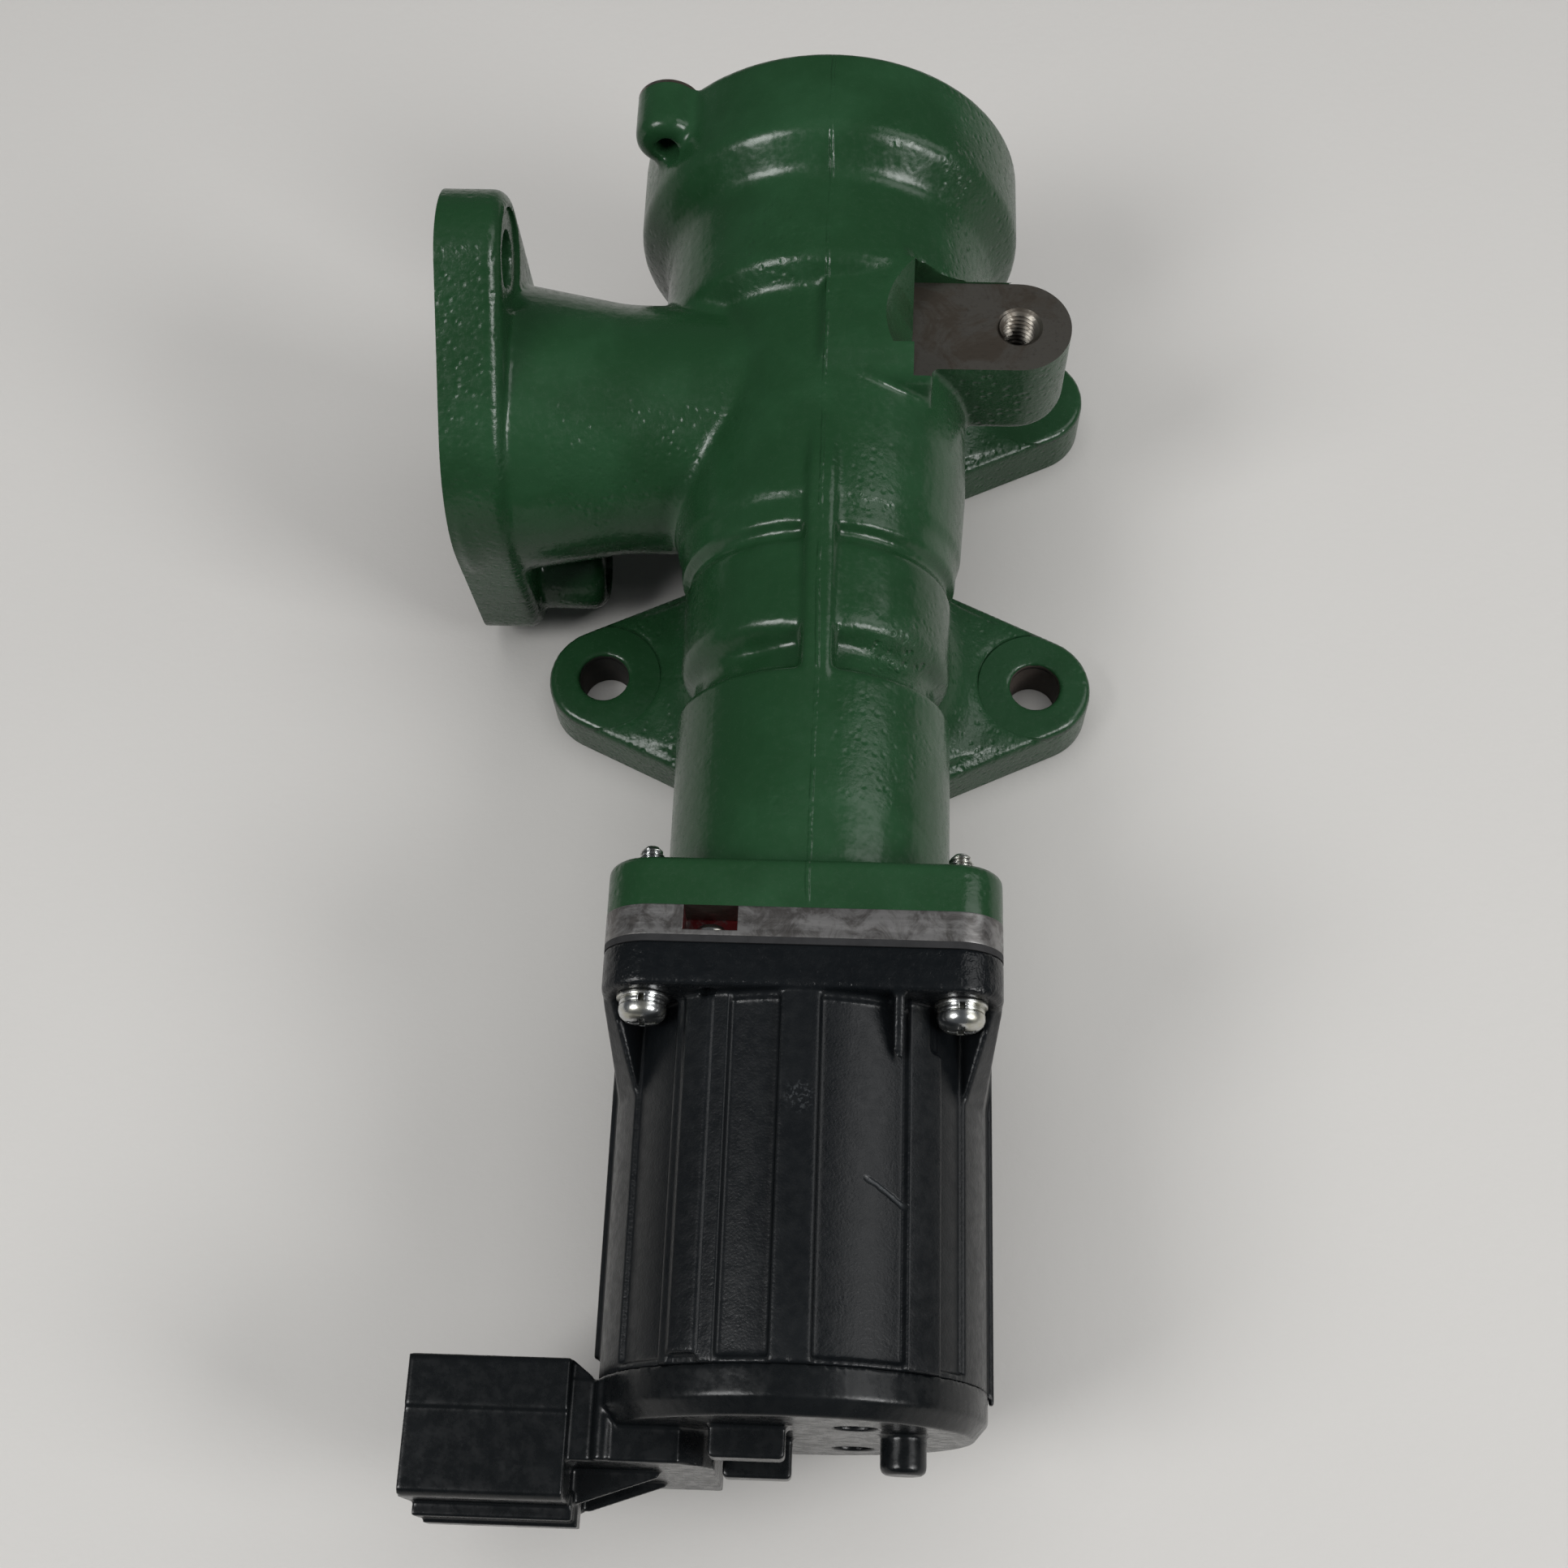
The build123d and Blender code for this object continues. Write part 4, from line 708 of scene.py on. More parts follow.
def dress_nodes() -> dict[str, bpy.types.Material]:
    """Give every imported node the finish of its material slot.

    Returns:
        Material by slot name.
    """
    made = {name: finish.build() for name, finish in FINISHES.items()}
    for part in frame["record"]["subparts"]:
        node = frame["nodes"][part["node"]]
        node.data.materials.clear()
        node.data.materials.append(made[part["material_slot"]])
        LOG.info("node %s in %s", part["node"], part["material_slot"])
    return made


# ---------------------------------------------------------------- mesh help
class Cut(Enum):
    """How a tool solid changes a casting."""

    ADD = "UNION"
    REMOVE = "DIFFERENCE"
    KEEP = "INTERSECT"


class Axis(Enum):
    """Direction that a rod or a hole runs in, as a turn from +Z."""

    X = Matrix.Rotation(math.radians(90), 4, "Y")
    Y = Matrix.Rotation(math.radians(-90), 4, "X")
    Z = Matrix.Identity(4)


def scale_by(bm: bmesh.types.BMesh, factor: float) -> None:
    """Scale a whole mesh about the origin."""
    bmesh.ops.scale(bm, vec=(factor, factor, factor), verts=bm.verts)


def node_copy(node: str) -> bmesh.types.BMesh:
    """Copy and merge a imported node's mesh.

    Args:
        node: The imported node.

    Returns:
        The mesh in millimetres.
    """
    bm = bmesh.new()
    bm.from_mesh(frame["nodes"][node].data)
    scale_by(bm, 1 / MM)
    bmesh.ops.remove_doubles(bm, verts=bm.verts, dist=0.002)
    return bm


def to_object(bm: bmesh.types.BMesh, name: str) -> bpy.types.Object:
    """Put a finished mesh in millimetres into a new object in metres.

    Args:
        bm: Mesh to store; it is freed.
        name: Name of the object.

    Returns:
        The object, linked to the scene.
    """
    scale_by(bm, MM)
    mesh = bpy.data.meshes.new(name)
    bm.to_mesh(mesh)
    bm.free()
    made = bpy.data.objects.new(name, mesh)
    bpy.context.scene.collection.objects.link(made)
    return made


def add_rod(bm: bmesh.types.BMesh, radius: float, start: Point, length: float, axis: Axis = Axis.Z,
            end_radius: float | None = None, segments: int = 64) -> None:
    """Add a capped cylinder or cone.

    Args:
        bm: Mesh that takes it.
        radius: Radius at the start.
        start: Centre of its first end.
        length: Length along the axis.
        axis: Direction it runs in.
        end_radius: Radius at the other end, the same by default.
        segments: Sides round it.
    """
    turn = Matrix.Translation(start) @ axis.value @ Matrix.Translation((0, 0, length / 2))
    bmesh.ops.create_cone(bm, cap_ends=True, segments=segments, radius1=radius,
                          radius2=radius if end_radius is None else end_radius, depth=length, matrix=turn)


def add_block(bm: bmesh.types.BMesh, low: Point, high: Point) -> None:
    """Add a box between two corners.

    Args:
        bm: Mesh that takes it.
        low: Lowest corner.
        high: Highest corner.
    """
    size = [b - a for a, b in zip(low, high)]
    middle = [(a + b) / 2 for a, b in zip(low, high)]
    bmesh.ops.create_cube(bm, size=1.0, matrix=Matrix.Translation(middle) @ Matrix.Diagonal((*size, 1.0)))


def solid(name: str, shape: Callable[..., None], *sizes: Any, **more: Any) -> bpy.types.Object:
    """One rod or block as an object.

    Args:
        name: Name of the object.
        shape: add_rod or add_block.
        sizes: What the shape takes after its mesh.
        more: The same, by name.

    Returns:
        The object.
    """
    bm = bmesh.new()
    shape(bm, *sizes, **more)
    return to_object(bm, name)


def grow(values: np.ndarray, start: float, width: float) -> np.ndarray:
    """Share that grows from 0 to 1 over a width from a start, or shrinks over a negative width."""
    return np.clip((values - start) / width, 0, 1)


def points(piece: bpy.types.Object) -> np.ndarray:
    """Read the points of a piece's mesh.

    Args:
        piece: The piece.

    Returns:
        One row of X, Y and Z in millimetres for each point.
    """
    places = np.empty(3 * len(piece.data.vertices), dtype=np.float32)
    piece.data.vertices.foreach_get("co", places)
    return places.reshape(-1, 3) / MM


def settle(piece: bpy.types.Object) -> None:
    """Replace a piece's mesh by what its modifiers make of it, and drop them.

    Args:
        piece: Piece that changes.
    """
    graph = bpy.context.evaluated_depsgraph_get()
    old = piece.data
    piece.data = bpy.data.meshes.new_from_object(piece.evaluated_get(graph))
    piece.modifiers.clear()
    bpy.data.meshes.remove(old)


def discard(piece: bpy.types.Object) -> None:
    """Delete an object and its mesh.

    Args:
        piece: The object.
    """
    mesh = piece.data
    bpy.data.objects.remove(piece)
    bpy.data.meshes.remove(mesh)


def take(bm: bmesh.types.BMesh, made: bpy.types.Object) -> None:
    """Move an object in metres into a mesh in millimetres.

    Args:
        bm: Mesh that takes it.
        made: Object, deleted after use.
    """
    scale_by(bm, MM)
    bm.from_mesh(made.data)
    scale_by(bm, 1 / MM)
    discard(made)


def combine(piece: bpy.types.Object, tool: bpy.types.Object, how: Cut) -> None:
    """Add a tool solid to a piece, cut it away or keep only what lies in it.

    Args:
        piece: Piece that changes.
        tool: Closed solid, deleted after use.
        how: What to do with it.
    """
    change = piece.modifiers.new("cut", "BOOLEAN")
    change.operation = how.value
    change.solver = "MANIFOLD"
    change.object = tool
    settle(piece)
    discard(tool)


def shade(piece: bpy.types.Object, material: bpy.types.Material, crease: float = 38.0) -> None:
    """Shade a piece smooth with its sharp edges kept, in one material.

    Args:
        piece: Piece to finish.
        material: Its material.
        crease: Angle in degrees from which an edge stays sharp.
    """
    mesh = piece.data
    mesh.polygons.foreach_set("use_smooth", [True] * len(mesh.polygons))
    mesh.set_sharp_from_angle(angle=math.radians(crease))
    mesh.materials.clear()
    mesh.materials.append(material)


def stand_in(piece: bpy.types.Object, slot: str, *nodes: str) -> None:
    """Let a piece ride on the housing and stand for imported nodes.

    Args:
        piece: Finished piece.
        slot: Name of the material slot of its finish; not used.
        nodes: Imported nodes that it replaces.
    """
    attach(piece, HOUSING)
    if nodes:
        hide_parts(*nodes)
    LOG.info("piece %s on %s, %d faces", piece.name, HOUSING, len(piece.data.polygons))


@dataclass(frozen=True)
class SoftSkin:
    """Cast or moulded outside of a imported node, with its edges and corners eased."""

    node: str
    voxel: float
    passes: int
    triangles: int

    def stocked(self, planes: Sequence[Plane], stock: float) -> bmesh.types.BMesh:
        """Copy the node's mesh and add stock to its machined planes.

        Args:
            planes: Axis index, place in millimetres and sign of each machined plane.
            stock: Thickness of the stock.

        Returns:
            The mesh in millimetres.
        """
        bm = node_copy(self.node)
        bm.normal_update()
        for axis, place, sign in planes:
            faces = [face for face in bm.faces if sign * face.normal[axis] > 0.999
                     and abs(face.calc_center_median()[axis] - place) < 0.02]
            raised = bmesh.ops.extrude_face_region(bm, geom=faces)
            step = [0.0, 0.0, 0.0]
            step[axis] = sign * stock
            moved = [item for item in raised["geom"] if isinstance(item, bmesh.types.BMVert)]
            bmesh.ops.translate(bm, vec=step, verts=moved)
            bm.normal_update()
        return bm

    def soften(self, piece: bpy.types.Object, share: Callable[[np.ndarray], np.ndarray], passes: int) -> None:
        """Ease part of the skin further.

        Args:
            piece: The skin.
            share: Gives each point, in millimetres, a share from 0 to 1.
            passes: Passes at a share of 1.
        """
        steps = np.round(10 * share(points(piece))).astype(int)
        group = piece.vertex_groups.new(name="soft")
        for step in range(1, 11):
            chosen = np.flatnonzero(steps == step)
            if len(chosen):
                group.add(chosen.tolist(), step / 10, "REPLACE")
        more = piece.modifiers.new("soften", "SMOOTH")
        more.factor = 0.5
        more.iterations = passes
        more.vertex_group = group.name

    def build(self, planes: Sequence[Plane] = (), stock: float = 1.8,
              share: Callable[[np.ndarray], np.ndarray] | None = None, extra: int = 0) -> bpy.types.Object:
        """Make the eased skin.

        Args:
            planes: Machined planes, which get stock.
            stock: Thickness of the stock.
            share: How far each point is eased further.
            extra: Passes of that.

        Returns:
            The piece.
        """
        piece = to_object(self.stocked(planes, stock), f"{self.node}_skin")
        skin = piece.modifiers.new("skin", "REMESH")
        skin.mode = "VOXEL"
        skin.voxel_size = self.voxel * MM
        ease = piece.modifiers.new("ease", "SMOOTH")
        ease.factor = 0.5
        ease.iterations = self.passes
        settle(piece)
        if share is not None:
            self.soften(piece, share, extra)
            settle(piece)
            piece.vertex_groups.clear()
        thin = piece.modifiers.new("thin", "DECIMATE")
        thin.ratio = min(1.0, self.triangles / (2 * len(piece.data.polygons)))
        settle(piece)
        return piece


# ---------------------------------------------------------------- the casting
@dataclass(frozen=True)
class ValveBody:
    """Green iron casting with its machined faces, bores and tapped holes."""

    near_face: float = -115.0
    bell_end: float = 65.5
    boss_end: float = 66.3
    inlet_face: float = -73.5
    pad_height: float = 70.0
    foot_thickness: float = 12.0
    foot_half_x: float = 46.5
    foot_half_y: float = 37.0
    foot_hole: float = 5.25
    ear_spot: float = 12.4
    inlet_centre: tuple[float, float] = (2.3, 50.0)
    inlet_ear: tuple[float, float] = (14.394, 34.411)
    inlet_hole: float = 5.5
    inlet_spot: float = 10.0
    inlet_spot_x: float = -61.8
    socket_radius: float = 32.0
    socket_start: float = 53.5
    boss_angle: float = 143.5
    boss_distance: float = 41.8
    boss_radius: float = 6.6
    boss_hole: float = 2.5
    boss_hole_depth: float = 15.0
    lug: tuple[float, float] = (38.8, 13.6)
    lug_radius: float = 10.4
    pad_start: float = 17.6
    relief: tuple[float, float] = (29.95, 9.6)
    relief_radius: float = 12.5
    relief_slope: float = 0.55
    thread_radius: float = 4.0
    thread_depth: float = 16.0
    room: float = 14.0
    spine_x: float = 0.6
    boss_rings: tuple[tuple[float, float], ...] = ((-33.6, 73.9), (33.6, 24.1))
    block_top: float = 79.7
    hollow_y: float = -59.4
    hollow_reach: float = 2.7
    hollow_depth: float = 1.25
    hollows: tuple[tuple[float, float], ...] = ((-29.0, 15.0), (36.0, 19.0))

    def boss_places(self) -> list[tuple[float, float]]:
        """Places of both bell bosses.

        Returns:
            X and Z of each.
        """
        turn = math.radians(self.boss_angle)
        x, z = self.boss_distance * math.cos(turn), self.boss_distance * math.sin(turn)
        return [(x, AXIS_HEIGHT + z), (-x, AXIS_HEIGHT - z)]

    def envelope(self) -> bpy.types.Object:
        """Box between the machined planes."""
        return solid("envelope", add_block, (self.inlet_face, self.near_face, 0.0), (120.0, 120.0, 160.0))

    def drills(self) -> bpy.types.Object:
        """Holes that are drilled or bored.

        Returns:
            One object of separate rods.
        """
        bm = bmesh.new()
        for x in (-self.foot_half_x, self.foot_half_x):
            for y in (-self.foot_half_y, self.foot_half_y):
                add_rod(bm, self.foot_hole, (x, y, -2.0), self.foot_thickness + 1.0)
                add_rod(bm, self.ear_spot, (x, y, self.foot_thickness), 9.0)
        centre_y, centre_z = self.inlet_centre
        ear_y, ear_z = self.inlet_ear
        add_rod(bm, self.inlet_hole, (self.inlet_face - 2, centre_y + ear_y, centre_z + ear_z), 13.0, Axis.X)
        add_rod(bm, self.inlet_spot, (self.inlet_spot_x, centre_y + ear_y, centre_z + ear_z), 6.0, Axis.X)
        add_rod(bm, self.inlet_hole, (self.inlet_face - 2, centre_y - ear_y, centre_z - ear_z), 32.0, Axis.X)
        for x, z in self.boss_places():
            add_rod(bm, self.boss_hole, (x, self.boss_end - self.boss_hole_depth, z), 20.0, Axis.Y)
        add_rod(bm, self.thread_radius, (*self.lug, self.pad_height - self.thread_depth), 20.0)
        return to_object(bm, "drills")

    def facing(self) -> bpy.types.Object:
        """Space over the bell end that leaves the two bosses proud.

        Returns:
            The solid.
        """
        disc = solid("facing", add_rod, 62.0, (0.0, self.bell_end, AXIS_HEIGHT), 6.0, Axis.Y, segments=128)
        low = (-70.0, self.bell_end - 1, self.foot_thickness + 0.3)
        combine(disc, solid("above_foot", add_block, low, (70.0, self.bell_end + 8, 120.0)), Cut.KEEP)
        bosses = bmesh.new()
        height = self.boss_end - self.bell_end + 2
        for x, z in self.boss_places():
            add_rod(bosses, self.boss_radius, (x, self.bell_end - 2, z), height, Axis.Y)
        combine(disc, to_object(bosses, "boss_room"), Cut.REMOVE)
        return disc

    def socket(self) -> bpy.types.Object:
        """Bore in the bell that takes the outlet pipe."""
        start = (0.0, self.socket_start, AXIS_HEIGHT)
        return solid("socket", add_rod, self.socket_radius, start, 20.0, Axis.Y, segments=160)

    def pad_tool(self) -> bpy.types.Object:
        """Space over the machined pad, with the round relief that the cutter leaves.

        Returns:
            The solid.
        """
        wide = self.relief_radius + self.relief_slope * self.room
        tool = solid("pad_tool", add_rod, self.relief_radius, (*self.relief, self.pad_height), self.room,
                     end_radius=wide, segments=128)
        far_y = self.lug[1] + self.lug_radius
        near_y = self.lug[1] - self.lug_radius - 0.6
        limit = solid("relief_limit", add_block, (0.0, near_y, self.pad_height - 1),
                      (70.0, far_y, self.pad_height + self.room + 1))
        combine(tool, limit, Cut.KEEP)
        over = solid("over_pad", add_block, (self.pad_start, near_y - 6.0, self.pad_height),
                     (70.0, far_y, self.pad_height + self.room))
        combine(tool, over, Cut.ADD)
        return tool

    def flowing(self, places: np.ndarray) -> np.ndarray:
        """Share by which each point of the casting flows into its neighbours.

        Args:
            places: Points in millimetres.

        Returns:
            Shares from 0 to 1.
        """
        x, y, z = places.T
        radius = np.hypot(x, z - AXIS_HEIGHT)
        waist = grow(y, -67.0, 2.0) * grow(y, -27.0, -4.0) * grow(radius, 21.8, 0.6)
        spine = grow(np.abs(x - self.spine_x), 4.0, -1.4) * (z > AXIS_HEIGHT)
        bell = grow(y, 28.0, 4.0) * grow(y, 62.0, -3.0) * (radius > 31.0) * (z > 25.0)
        for boss_x, boss_z in self.boss_rings:
            bell *= grow(np.hypot(x - boss_x, z - boss_z), 7.5, 2.0)
        roots = grow(z, 27.0, -6.0) * grow(z, 13.5, 2.0) * (np.abs(x) < 44.0)
        sleeve = (y > -103.0) * grow(y, -70.5, -1.5) * (radius > 19.6) * (radius < 24.5)
        return np.maximum.reduce([waist * (1.0 - spine), 0.6 * bell, 0.7 * roots, sleeve])

    def sculpt(self, piece: bpy.types.Object) -> None:
        """Raise the square pad stock beside the lug and sink the hollows at the barrel's near end.

        Args:
            piece: The skin, before its machining.
        """
        x, y, z = points(piece).T
        block = grow(x, -0.4, 0.6) * grow(x, 24.0, -1.5) * grow(y, -1.0, 3.0) * grow(y, 23.9, -0.6)
        rise = np.clip(self.block_top - z, 0, 6) * block * (z > self.pad_height)
        radius = np.maximum(np.hypot(x, z - AXIS_HEIGHT), 1.0)
        turn = np.degrees(np.arctan2(x, z - AXIS_HEIGHT))
        along = np.abs(y - self.hollow_y)
        near = np.exp(-(along / self.hollow_reach) ** 2) * (radius > 20.3) * (along < 8.0)
        share = sum(np.exp(-((turn - centre) / spread) ** 2) for centre, spread in self.hollows)
        sink = self.hollow_depth * near * share * grow(np.abs(x - self.spine_x), 2.4, 1.2)
        moved = np.stack([x - sink * x / radius, y, z + rise - sink * (z - AXIS_HEIGHT) / radius], axis=1)
        piece.data.vertices.foreach_set("co", (moved * MM).astype(np.float32).ravel())
        piece.data.update()

    def build(self, material: bpy.types.Material) -> None:
        """Make the casting.

        Args:
            material: Paint with the machined faces in it.
        """
        planes = ((2, 0.0, -1), (0, self.inlet_face, -1), (1, self.bell_end, 1), (1, self.boss_end, 1),
                  (1, self.near_face, -1), (2, self.pad_height, 1))
        skin = SoftSkin("valve_body", voxel=0.6, passes=5, triangles=170000)
        piece = skin.build(planes, share=self.flowing, extra=9)
        self.sculpt(piece)
        combine(piece, self.envelope(), Cut.KEEP)
        for tool in (self.facing, self.pad_tool, self.socket, self.drills):
            combine(piece, tool(), Cut.REMOVE)
        rim = solid("thread_rim", add_rod, self.thread_radius - 0.2, (*self.lug, self.pad_height - 0.9), 1.4,
                    end_radius=self.thread_radius + 1.1)
        combine(piece, rim, Cut.REMOVE)
        shade(piece, material)
        stand_in(piece, "green_paint", "valve_body")


@dataclass(frozen=True)
class ThreadRidge:
    """Helical ridge of a screw thread.

    Radii, pitch and length are in millimetres, and the ridge runs from root to crest.
    """

    root: float
    crest: float
    pitch: float
    length: float
    steps: int = 28
    root_share: float = 0.46
    crest_share: float = 0.06

    def add_to(self, bm: bmesh.types.BMesh, start: Point, axis: Axis = Axis.Z) -> None:
        """Add the ridge.

        Args:
            bm: Mesh that takes it.
            start: Centre of the first turn.
            axis: Direction it runs in.
        """
        half = self.root_share * self.pitch
        flat = self.crest_share * self.pitch
        corners = [(self.root, 0.0, -half), (self.crest, 0.0, -flat), (self.crest, 0.0, flat),
                   (self.root, 0.0, half)]
        verts = [bm.verts.new(corner) for corner in corners]
        face = bm.faces.new(verts)
        turns = self.length / self.pitch
        steps = max(4, round(turns * self.steps))
        grown = bmesh.ops.spin(bm, geom=[face, *face.edges, *verts], axis=(0, 0, 1), cent=(0, 0, 0),
                               dvec=(0, 0, self.length / steps), angle=turns * math.tau, steps=steps)
        kept = {item for item in grown["geom_last"] if isinstance(item, bmesh.types.BMVert)}
        whole = set(verts) | kept
        front = list(whole)
        while front:
            vert = front.pop()
            for edge in vert.link_edges:
                other = edge.other_vert(vert)
                if other not in whole:
                    whole.add(other)
                    front.append(other)
        place = Matrix.Translation(start) @ axis.value
        bmesh.ops.transform(bm, matrix=place, verts=list(whole))


@dataclass(frozen=True)
class LugThread:
    """Cut thread in the tapped hole of the lug."""

    body: ValveBody = ValveBody()
    pitch: float = 1.25
    minor: float = 3.32

    def build(self, material: bpy.types.Material) -> None:
        """Make the thread.

        Args:
            material: Finish of the casting, bare in its holes.
        """
        bm = bmesh.new()
        depth = self.body.thread_depth - 1.0
        start = (*self.body.lug, self.body.pad_height - depth)
        ThreadRidge(self.body.thread_radius + 0.03, self.minor, self.pitch, depth - 0.5).add_to(bm, start)
        bmesh.ops.recalc_face_normals(bm, faces=bm.faces)
        piece = to_object(bm, "lug_thread")
        shade(piece, material, 25.0)
        stand_in(piece, "green_paint")


@dataclass(frozen=True)
class SoftShell:
    """Housing or cap with its moulded edges eased."""

    skin: SoftSkin
    slot: str

    def build(self, material: bpy.types.Material) -> None:
        """Make the shell.

        Args:
            material: Its finish.
        """
        piece = self.skin.build()
        shade(piece, material, 50.0)
        stand_in(piece, self.slot, self.skin.node)


@dataclass(frozen=True)
class MotorScrews:
    """Four pan-head screws with cross recesses and threaded tips."""

    offset: float = 26.75
    seat: float = -130.8
    head_radius: float = 4.05
    head_height: float = 3.0
    shank: float = 1.82
    thread: float = 2.14
    pitch: float = 0.8
    flat_washer: float = 4.5
    spring_washer: float = 4.0
    flange: float = -129.0
    split: float = 0.9
    tip: float = -102.1
    threaded: float = 12.0
    recess: float = 4.6
    recess_arm: float = 1.0
    recess_depth: float = 1.7

    def places(self) -> list[tuple[float, float]]:
        """X and Z of the four screws."""
        return [(sx * self.offset, AXIS_HEIGHT + sz * self.offset) for sx in (-1, 1) for sz in (-1, 1)]

    def head(self, x: float, z: float) -> bpy.types.Object:
        """One head with its shank and recess.

        Args:
            x: Place of its axis across.
            z: Height of its axis.

        Returns:
            The solid.
        """
        bm = bmesh.new()
        top = self.seat - self.head_height
        radius = self.head_radius
        profile = [(0.0, top), (0.45 * radius, top + 0.08), (0.74 * radius, top + 0.45),
                   (0.92 * radius, top + 1.1), (radius, top + 1.9), (radius, self.seat - 0.25),
                   (radius - 0.25, self.seat),
                   (self.shank, self.seat), (self.shank, self.tip - 0.7), (self.shank - 0.7, self.tip),
                   (0.0, self.tip)]
        verts = [bm.verts.new((r, y, 0.0)) for r, y in profile]
        edges = [bm.edges.new(pair) for pair in zip(verts, verts[1:])]
        bmesh.ops.spin(bm, geom=[*verts, *edges], cent=(0, 0, 0), axis=(0, 1, 0), angle=math.tau, steps=48,
                       use_merge=True)
        bmesh.ops.remove_doubles(bm, verts=bm.verts, dist=0.0001)
        bmesh.ops.recalc_face_normals(bm, faces=bm.faces)
        bmesh.ops.translate(bm, vec=(x, 0.0, z), verts=bm.verts)
        screw = to_object(bm, "motor_screw")
        half, arm, deep = self.recess / 2, self.recess_arm / 2, top + self.recess_depth
        for wide, tall in ((half, arm), (arm, half)):
            slot = solid("recess", add_block, (x - wide, top - 1, z - tall), (x + wide, deep, z + tall))
            combine(screw, slot, Cut.REMOVE)
        return screw

    def build(self, material: bpy.types.Material) -> None:
        """Make the screws.

        Args:
            material: Bright plating.
        """
        bm = bmesh.new()
        for x, z in self.places():
            take(bm, self.head(x, z))
        ridge = ThreadRidge(self.shank - 0.04, self.thread, self.pitch, self.threaded - 0.9, 20)
        for x, z in self.places():
            ridge.add_to(bm, (x, self.tip - self.threaded, z), Axis.Y)
        piece = to_object(bm, "motor_screws_cut")
        shade(piece, material, 30.0)
        stand_in(piece, "zinc", "motor_screws")
        self.washers(material)

    def washers(self, material: bpy.types.Material) -> None:
        """Make the flat washers and the split spring washers.

        Args:
            material: Bright plating.
        """
        bm = bmesh.new()
        between = (self.flange + self.seat) / 2 + 0.1
        half = self.split / 2
        for x, z in self.places():
            add_rod(bm, self.flat_washer, (x, between, z), self.flange - between, Axis.Y)
            ring = solid("spring_washer", add_rod, self.spring_washer, (x, self.seat + 0.02, z),
                         between - self.seat - 0.05, Axis.Y)
            gap = solid("split", add_block, (x - half, self.seat - 1, z), (x + half, between + 1, z + 6.0))
            combine(ring, gap, Cut.REMOVE)
            take(bm, ring)
        piece = to_object(bm, "motor_washers")
        edge = piece.modifiers.new("edge", "BEVEL")
        edge.width = 0.18 * MM
        edge.segments = 2
        settle(piece)
        shade(piece, material, 40.0)
        stand_in(piece, "zinc", "flat_washers", "spring_washers")


@dataclass(frozen=True)
class ReturnSpring:
    """Closing spring of the valve, a still copy of its imported node; the real spring shortens as the valve
    lifts.
    """

    node: str = "return_spring"
    lift: float = 8.0

    def build(self, material: bpy.types.Material) -> None:
        """Make the spring.

        Args:
            material: Finish of the wire.
        """
        low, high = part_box(self.node)
        piece = to_object(node_copy(self.node), "return_spring_wire")
        shade(piece, material)
        stand_in(piece, "spring_steel", self.node)
        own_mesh(piece)


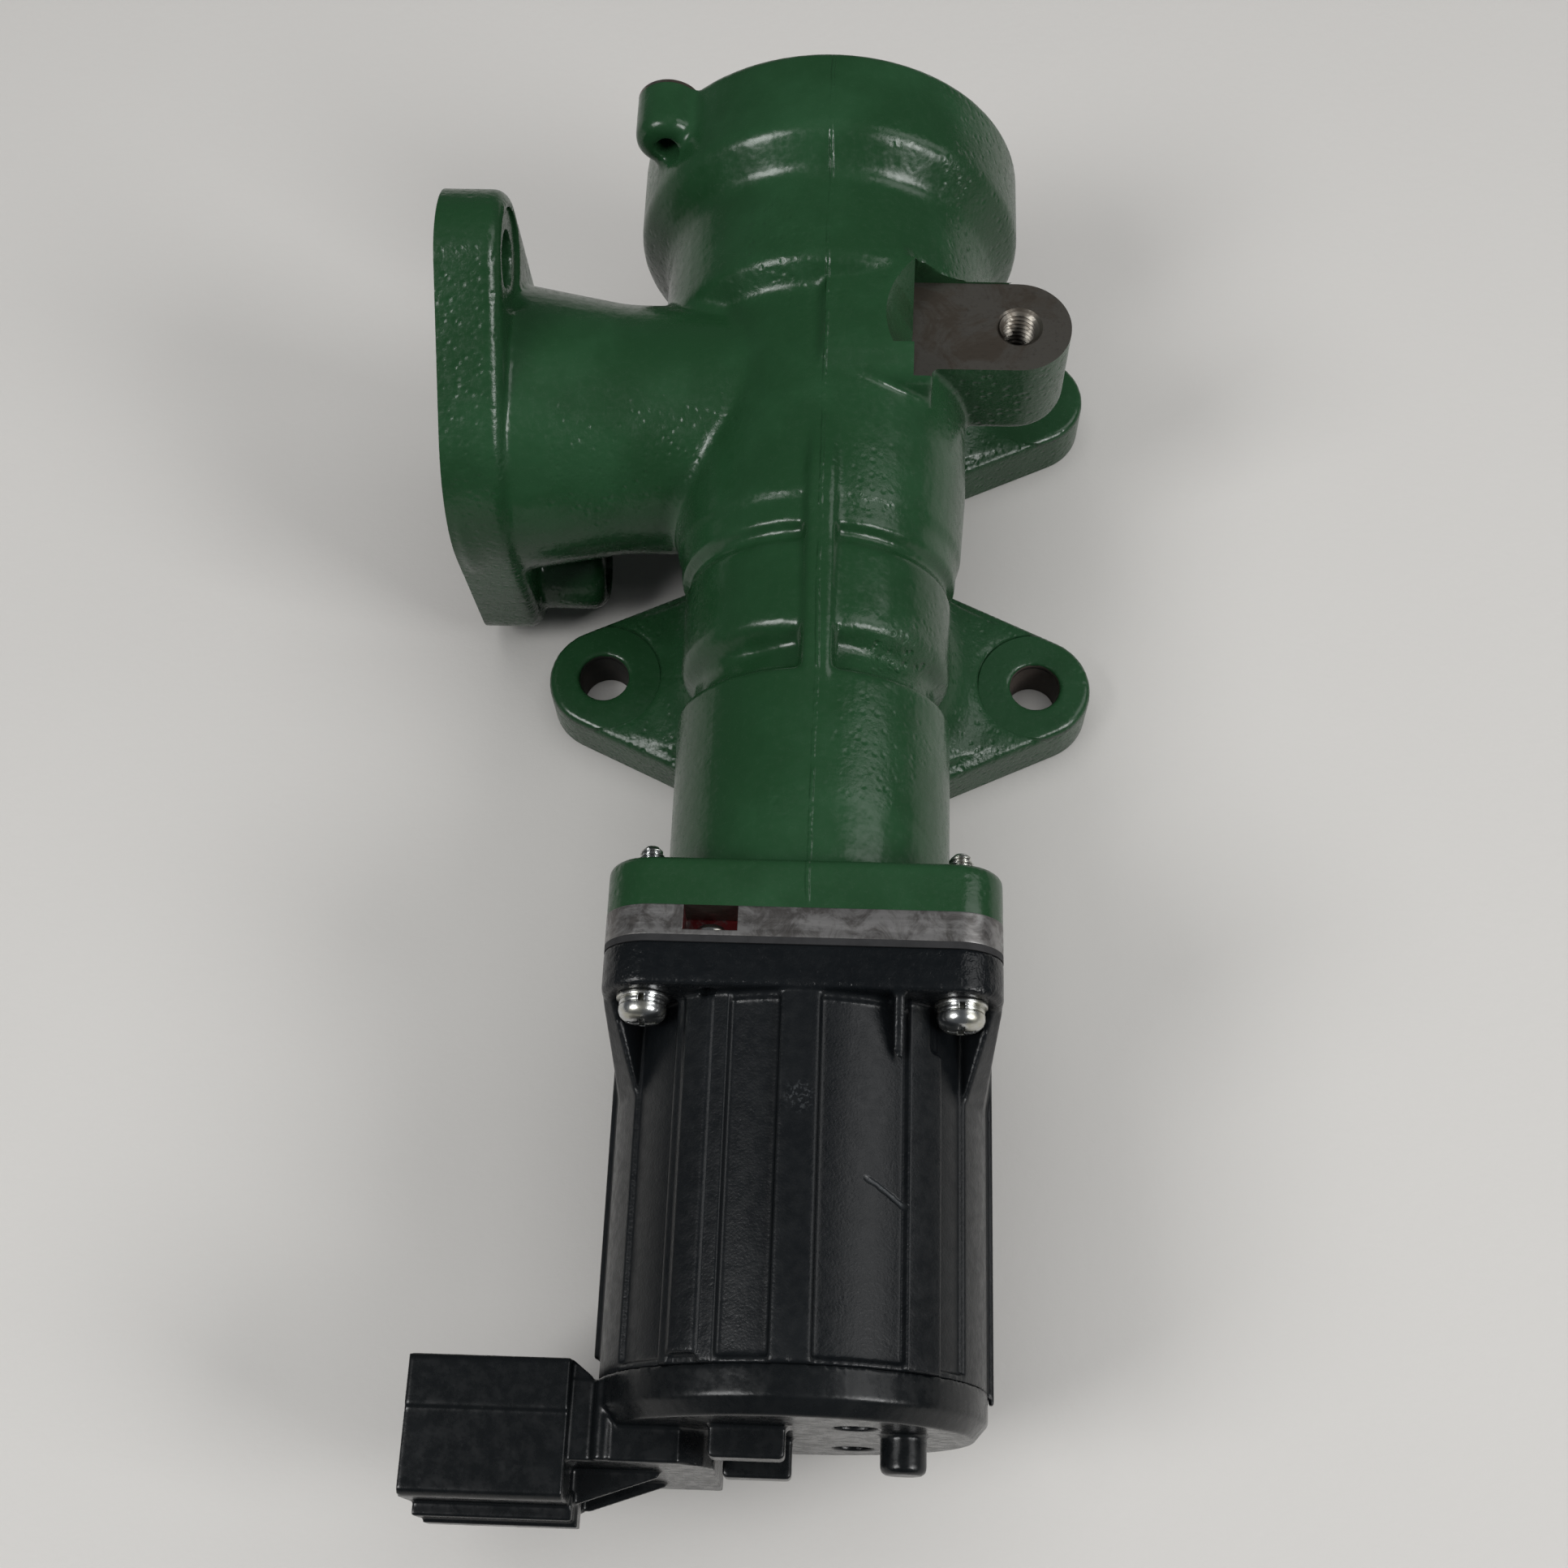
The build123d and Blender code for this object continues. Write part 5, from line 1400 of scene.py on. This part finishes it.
# ---------------------------------------------------------------- stage
@dataclass(frozen=True)
class Studio:
    """Pale floor, soft lamps and the camera. Lengths are in metres."""

    floor_size: float = 6.0
    floor_colour: Colour = (0.50, 0.488, 0.470)
    world_colour: Colour = (0.90, 0.95, 1.0)
    world_strength: float = 0.09
    lamp_power: float = 8.6
    strip_power: float = 2.6
    fill_power: float = 15.0
    lens: float = 45.986
    camera_place: tuple[float, float, float] = (0.0070973, -0.2310451, 0.3987114)
    camera_right: tuple[float, float, float] = (0.999187, 0.034897, -0.020185)
    camera_down: tuple[float, float, float] = (0.023832, -0.915140, -0.402432)

    def floor(self) -> None:
        """Lay the floor."""
        bm = bmesh.new()
        bmesh.ops.create_grid(bm, x_segments=1, y_segments=1, size=self.floor_size / 2 / MM)
        floor = to_object(bm, "floor")
        floor.location.z = -0.0003
        s = Shader("pale_floor")
        s.set(Base_Color=self.floor_colour, Roughness=0.55, Specular_IOR_Level=0.3,
              Normal=s.bump(s.noise(420.0, 3.0, 0.6), 0.0002, None, 0.4))
        floor.data.materials.append(s.material)

    def lamp(self, name: str, place: Point, size: tuple[float, float], power: float,
             mirrored: bool = True) -> None:
        """Hang one soft lamp that faces the object.

        Args:
            name: Name of the lamp.
            place: Where it hangs.
            size: Width and length.
            power: Watts.
            mirrored: Let gloss show it.
        """
        light = bpy.data.lights.new(name, "AREA")
        light.shape = "RECTANGLE"
        light.size, light.size_y = size
        light.energy = power
        lamp = bpy.data.objects.new(name, light)
        lamp.location = place
        aim = Vector((0.0, -0.05, 0.05)) - Vector(place)
        lamp.rotation_euler = aim.to_track_quat("-Z", "Y").to_euler()
        lamp.visible_glossy = mirrored
        bpy.context.scene.collection.objects.link(lamp)

    def lights(self) -> None:
        """Light the object from two soft lamps, a faint strip, a soft fill over it and the room."""
        world = bpy.data.worlds.new("pale_room")
        world.use_nodes = True
        background = world.node_tree.nodes["Background"]
        background.inputs["Color"].default_value = (*self.world_colour, 1.0)
        background.inputs["Strength"].default_value = self.world_strength
        bpy.context.scene.world = world
        self.lamp("lamp_left", (-0.78, -0.48, 1.04), (0.45, 0.50), self.lamp_power)
        self.lamp("lamp_right", (0.90, -0.50, 0.90), (0.45, 0.50), self.lamp_power)
        self.lamp("strip_right", (0.92, 0.25, 1.00), (0.50, 0.80), self.strip_power)
        self.lamp("fill_above", (0.0, 0.1, 1.7), (1.6, 1.6), self.fill_power, mirrored=False)

    def camera(self) -> None:
        """Place the camera."""
        data = bpy.data.cameras.new("camera")
        data.sensor_width = 36.0
        data.lens = self.lens
        data.clip_start = 0.01
        right = Vector(self.camera_right).normalized()
        down = Vector(self.camera_down).normalized()
        back = down.cross(right)
        turn = Matrix((right, -down, back)).transposed().to_4x4()
        camera = bpy.data.objects.new("camera", data)
        camera.matrix_world = Matrix.Translation(self.camera_place) @ turn
        bpy.context.scene.collection.objects.link(camera)
        bpy.context.scene.camera = camera

    def build(self) -> None:
        """Set up the whole stage."""
        self.floor()
        self.lights()
        self.camera()
        bpy.context.scene.view_settings.view_transform = "Standard"


def main() -> None:
    """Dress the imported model, build the finished pieces and set the stage."""
    logging.basicConfig(level=logging.INFO, format="%(name)s: %(message)s")
    finishes = dress_nodes()
    ValveBody().build(finishes["green_paint"])
    LugThread().build(finishes["green_paint"])
    shells = ((SoftSkin("motor_housing", voxel=0.4, passes=4, triangles=120000), "black_casting"),
              (SoftSkin("motor_end_cap", voxel=0.35, passes=3, triangles=110000), "black_moulding"))
    for skin, slot in shells:
        SoftShell(skin, slot).build(finishes[slot])
    MotorScrews().build(finishes["zinc"])
    ReturnSpring().build(finishes["spring_steel"])
    Studio().build()


if __name__ == "__main__":
    main()
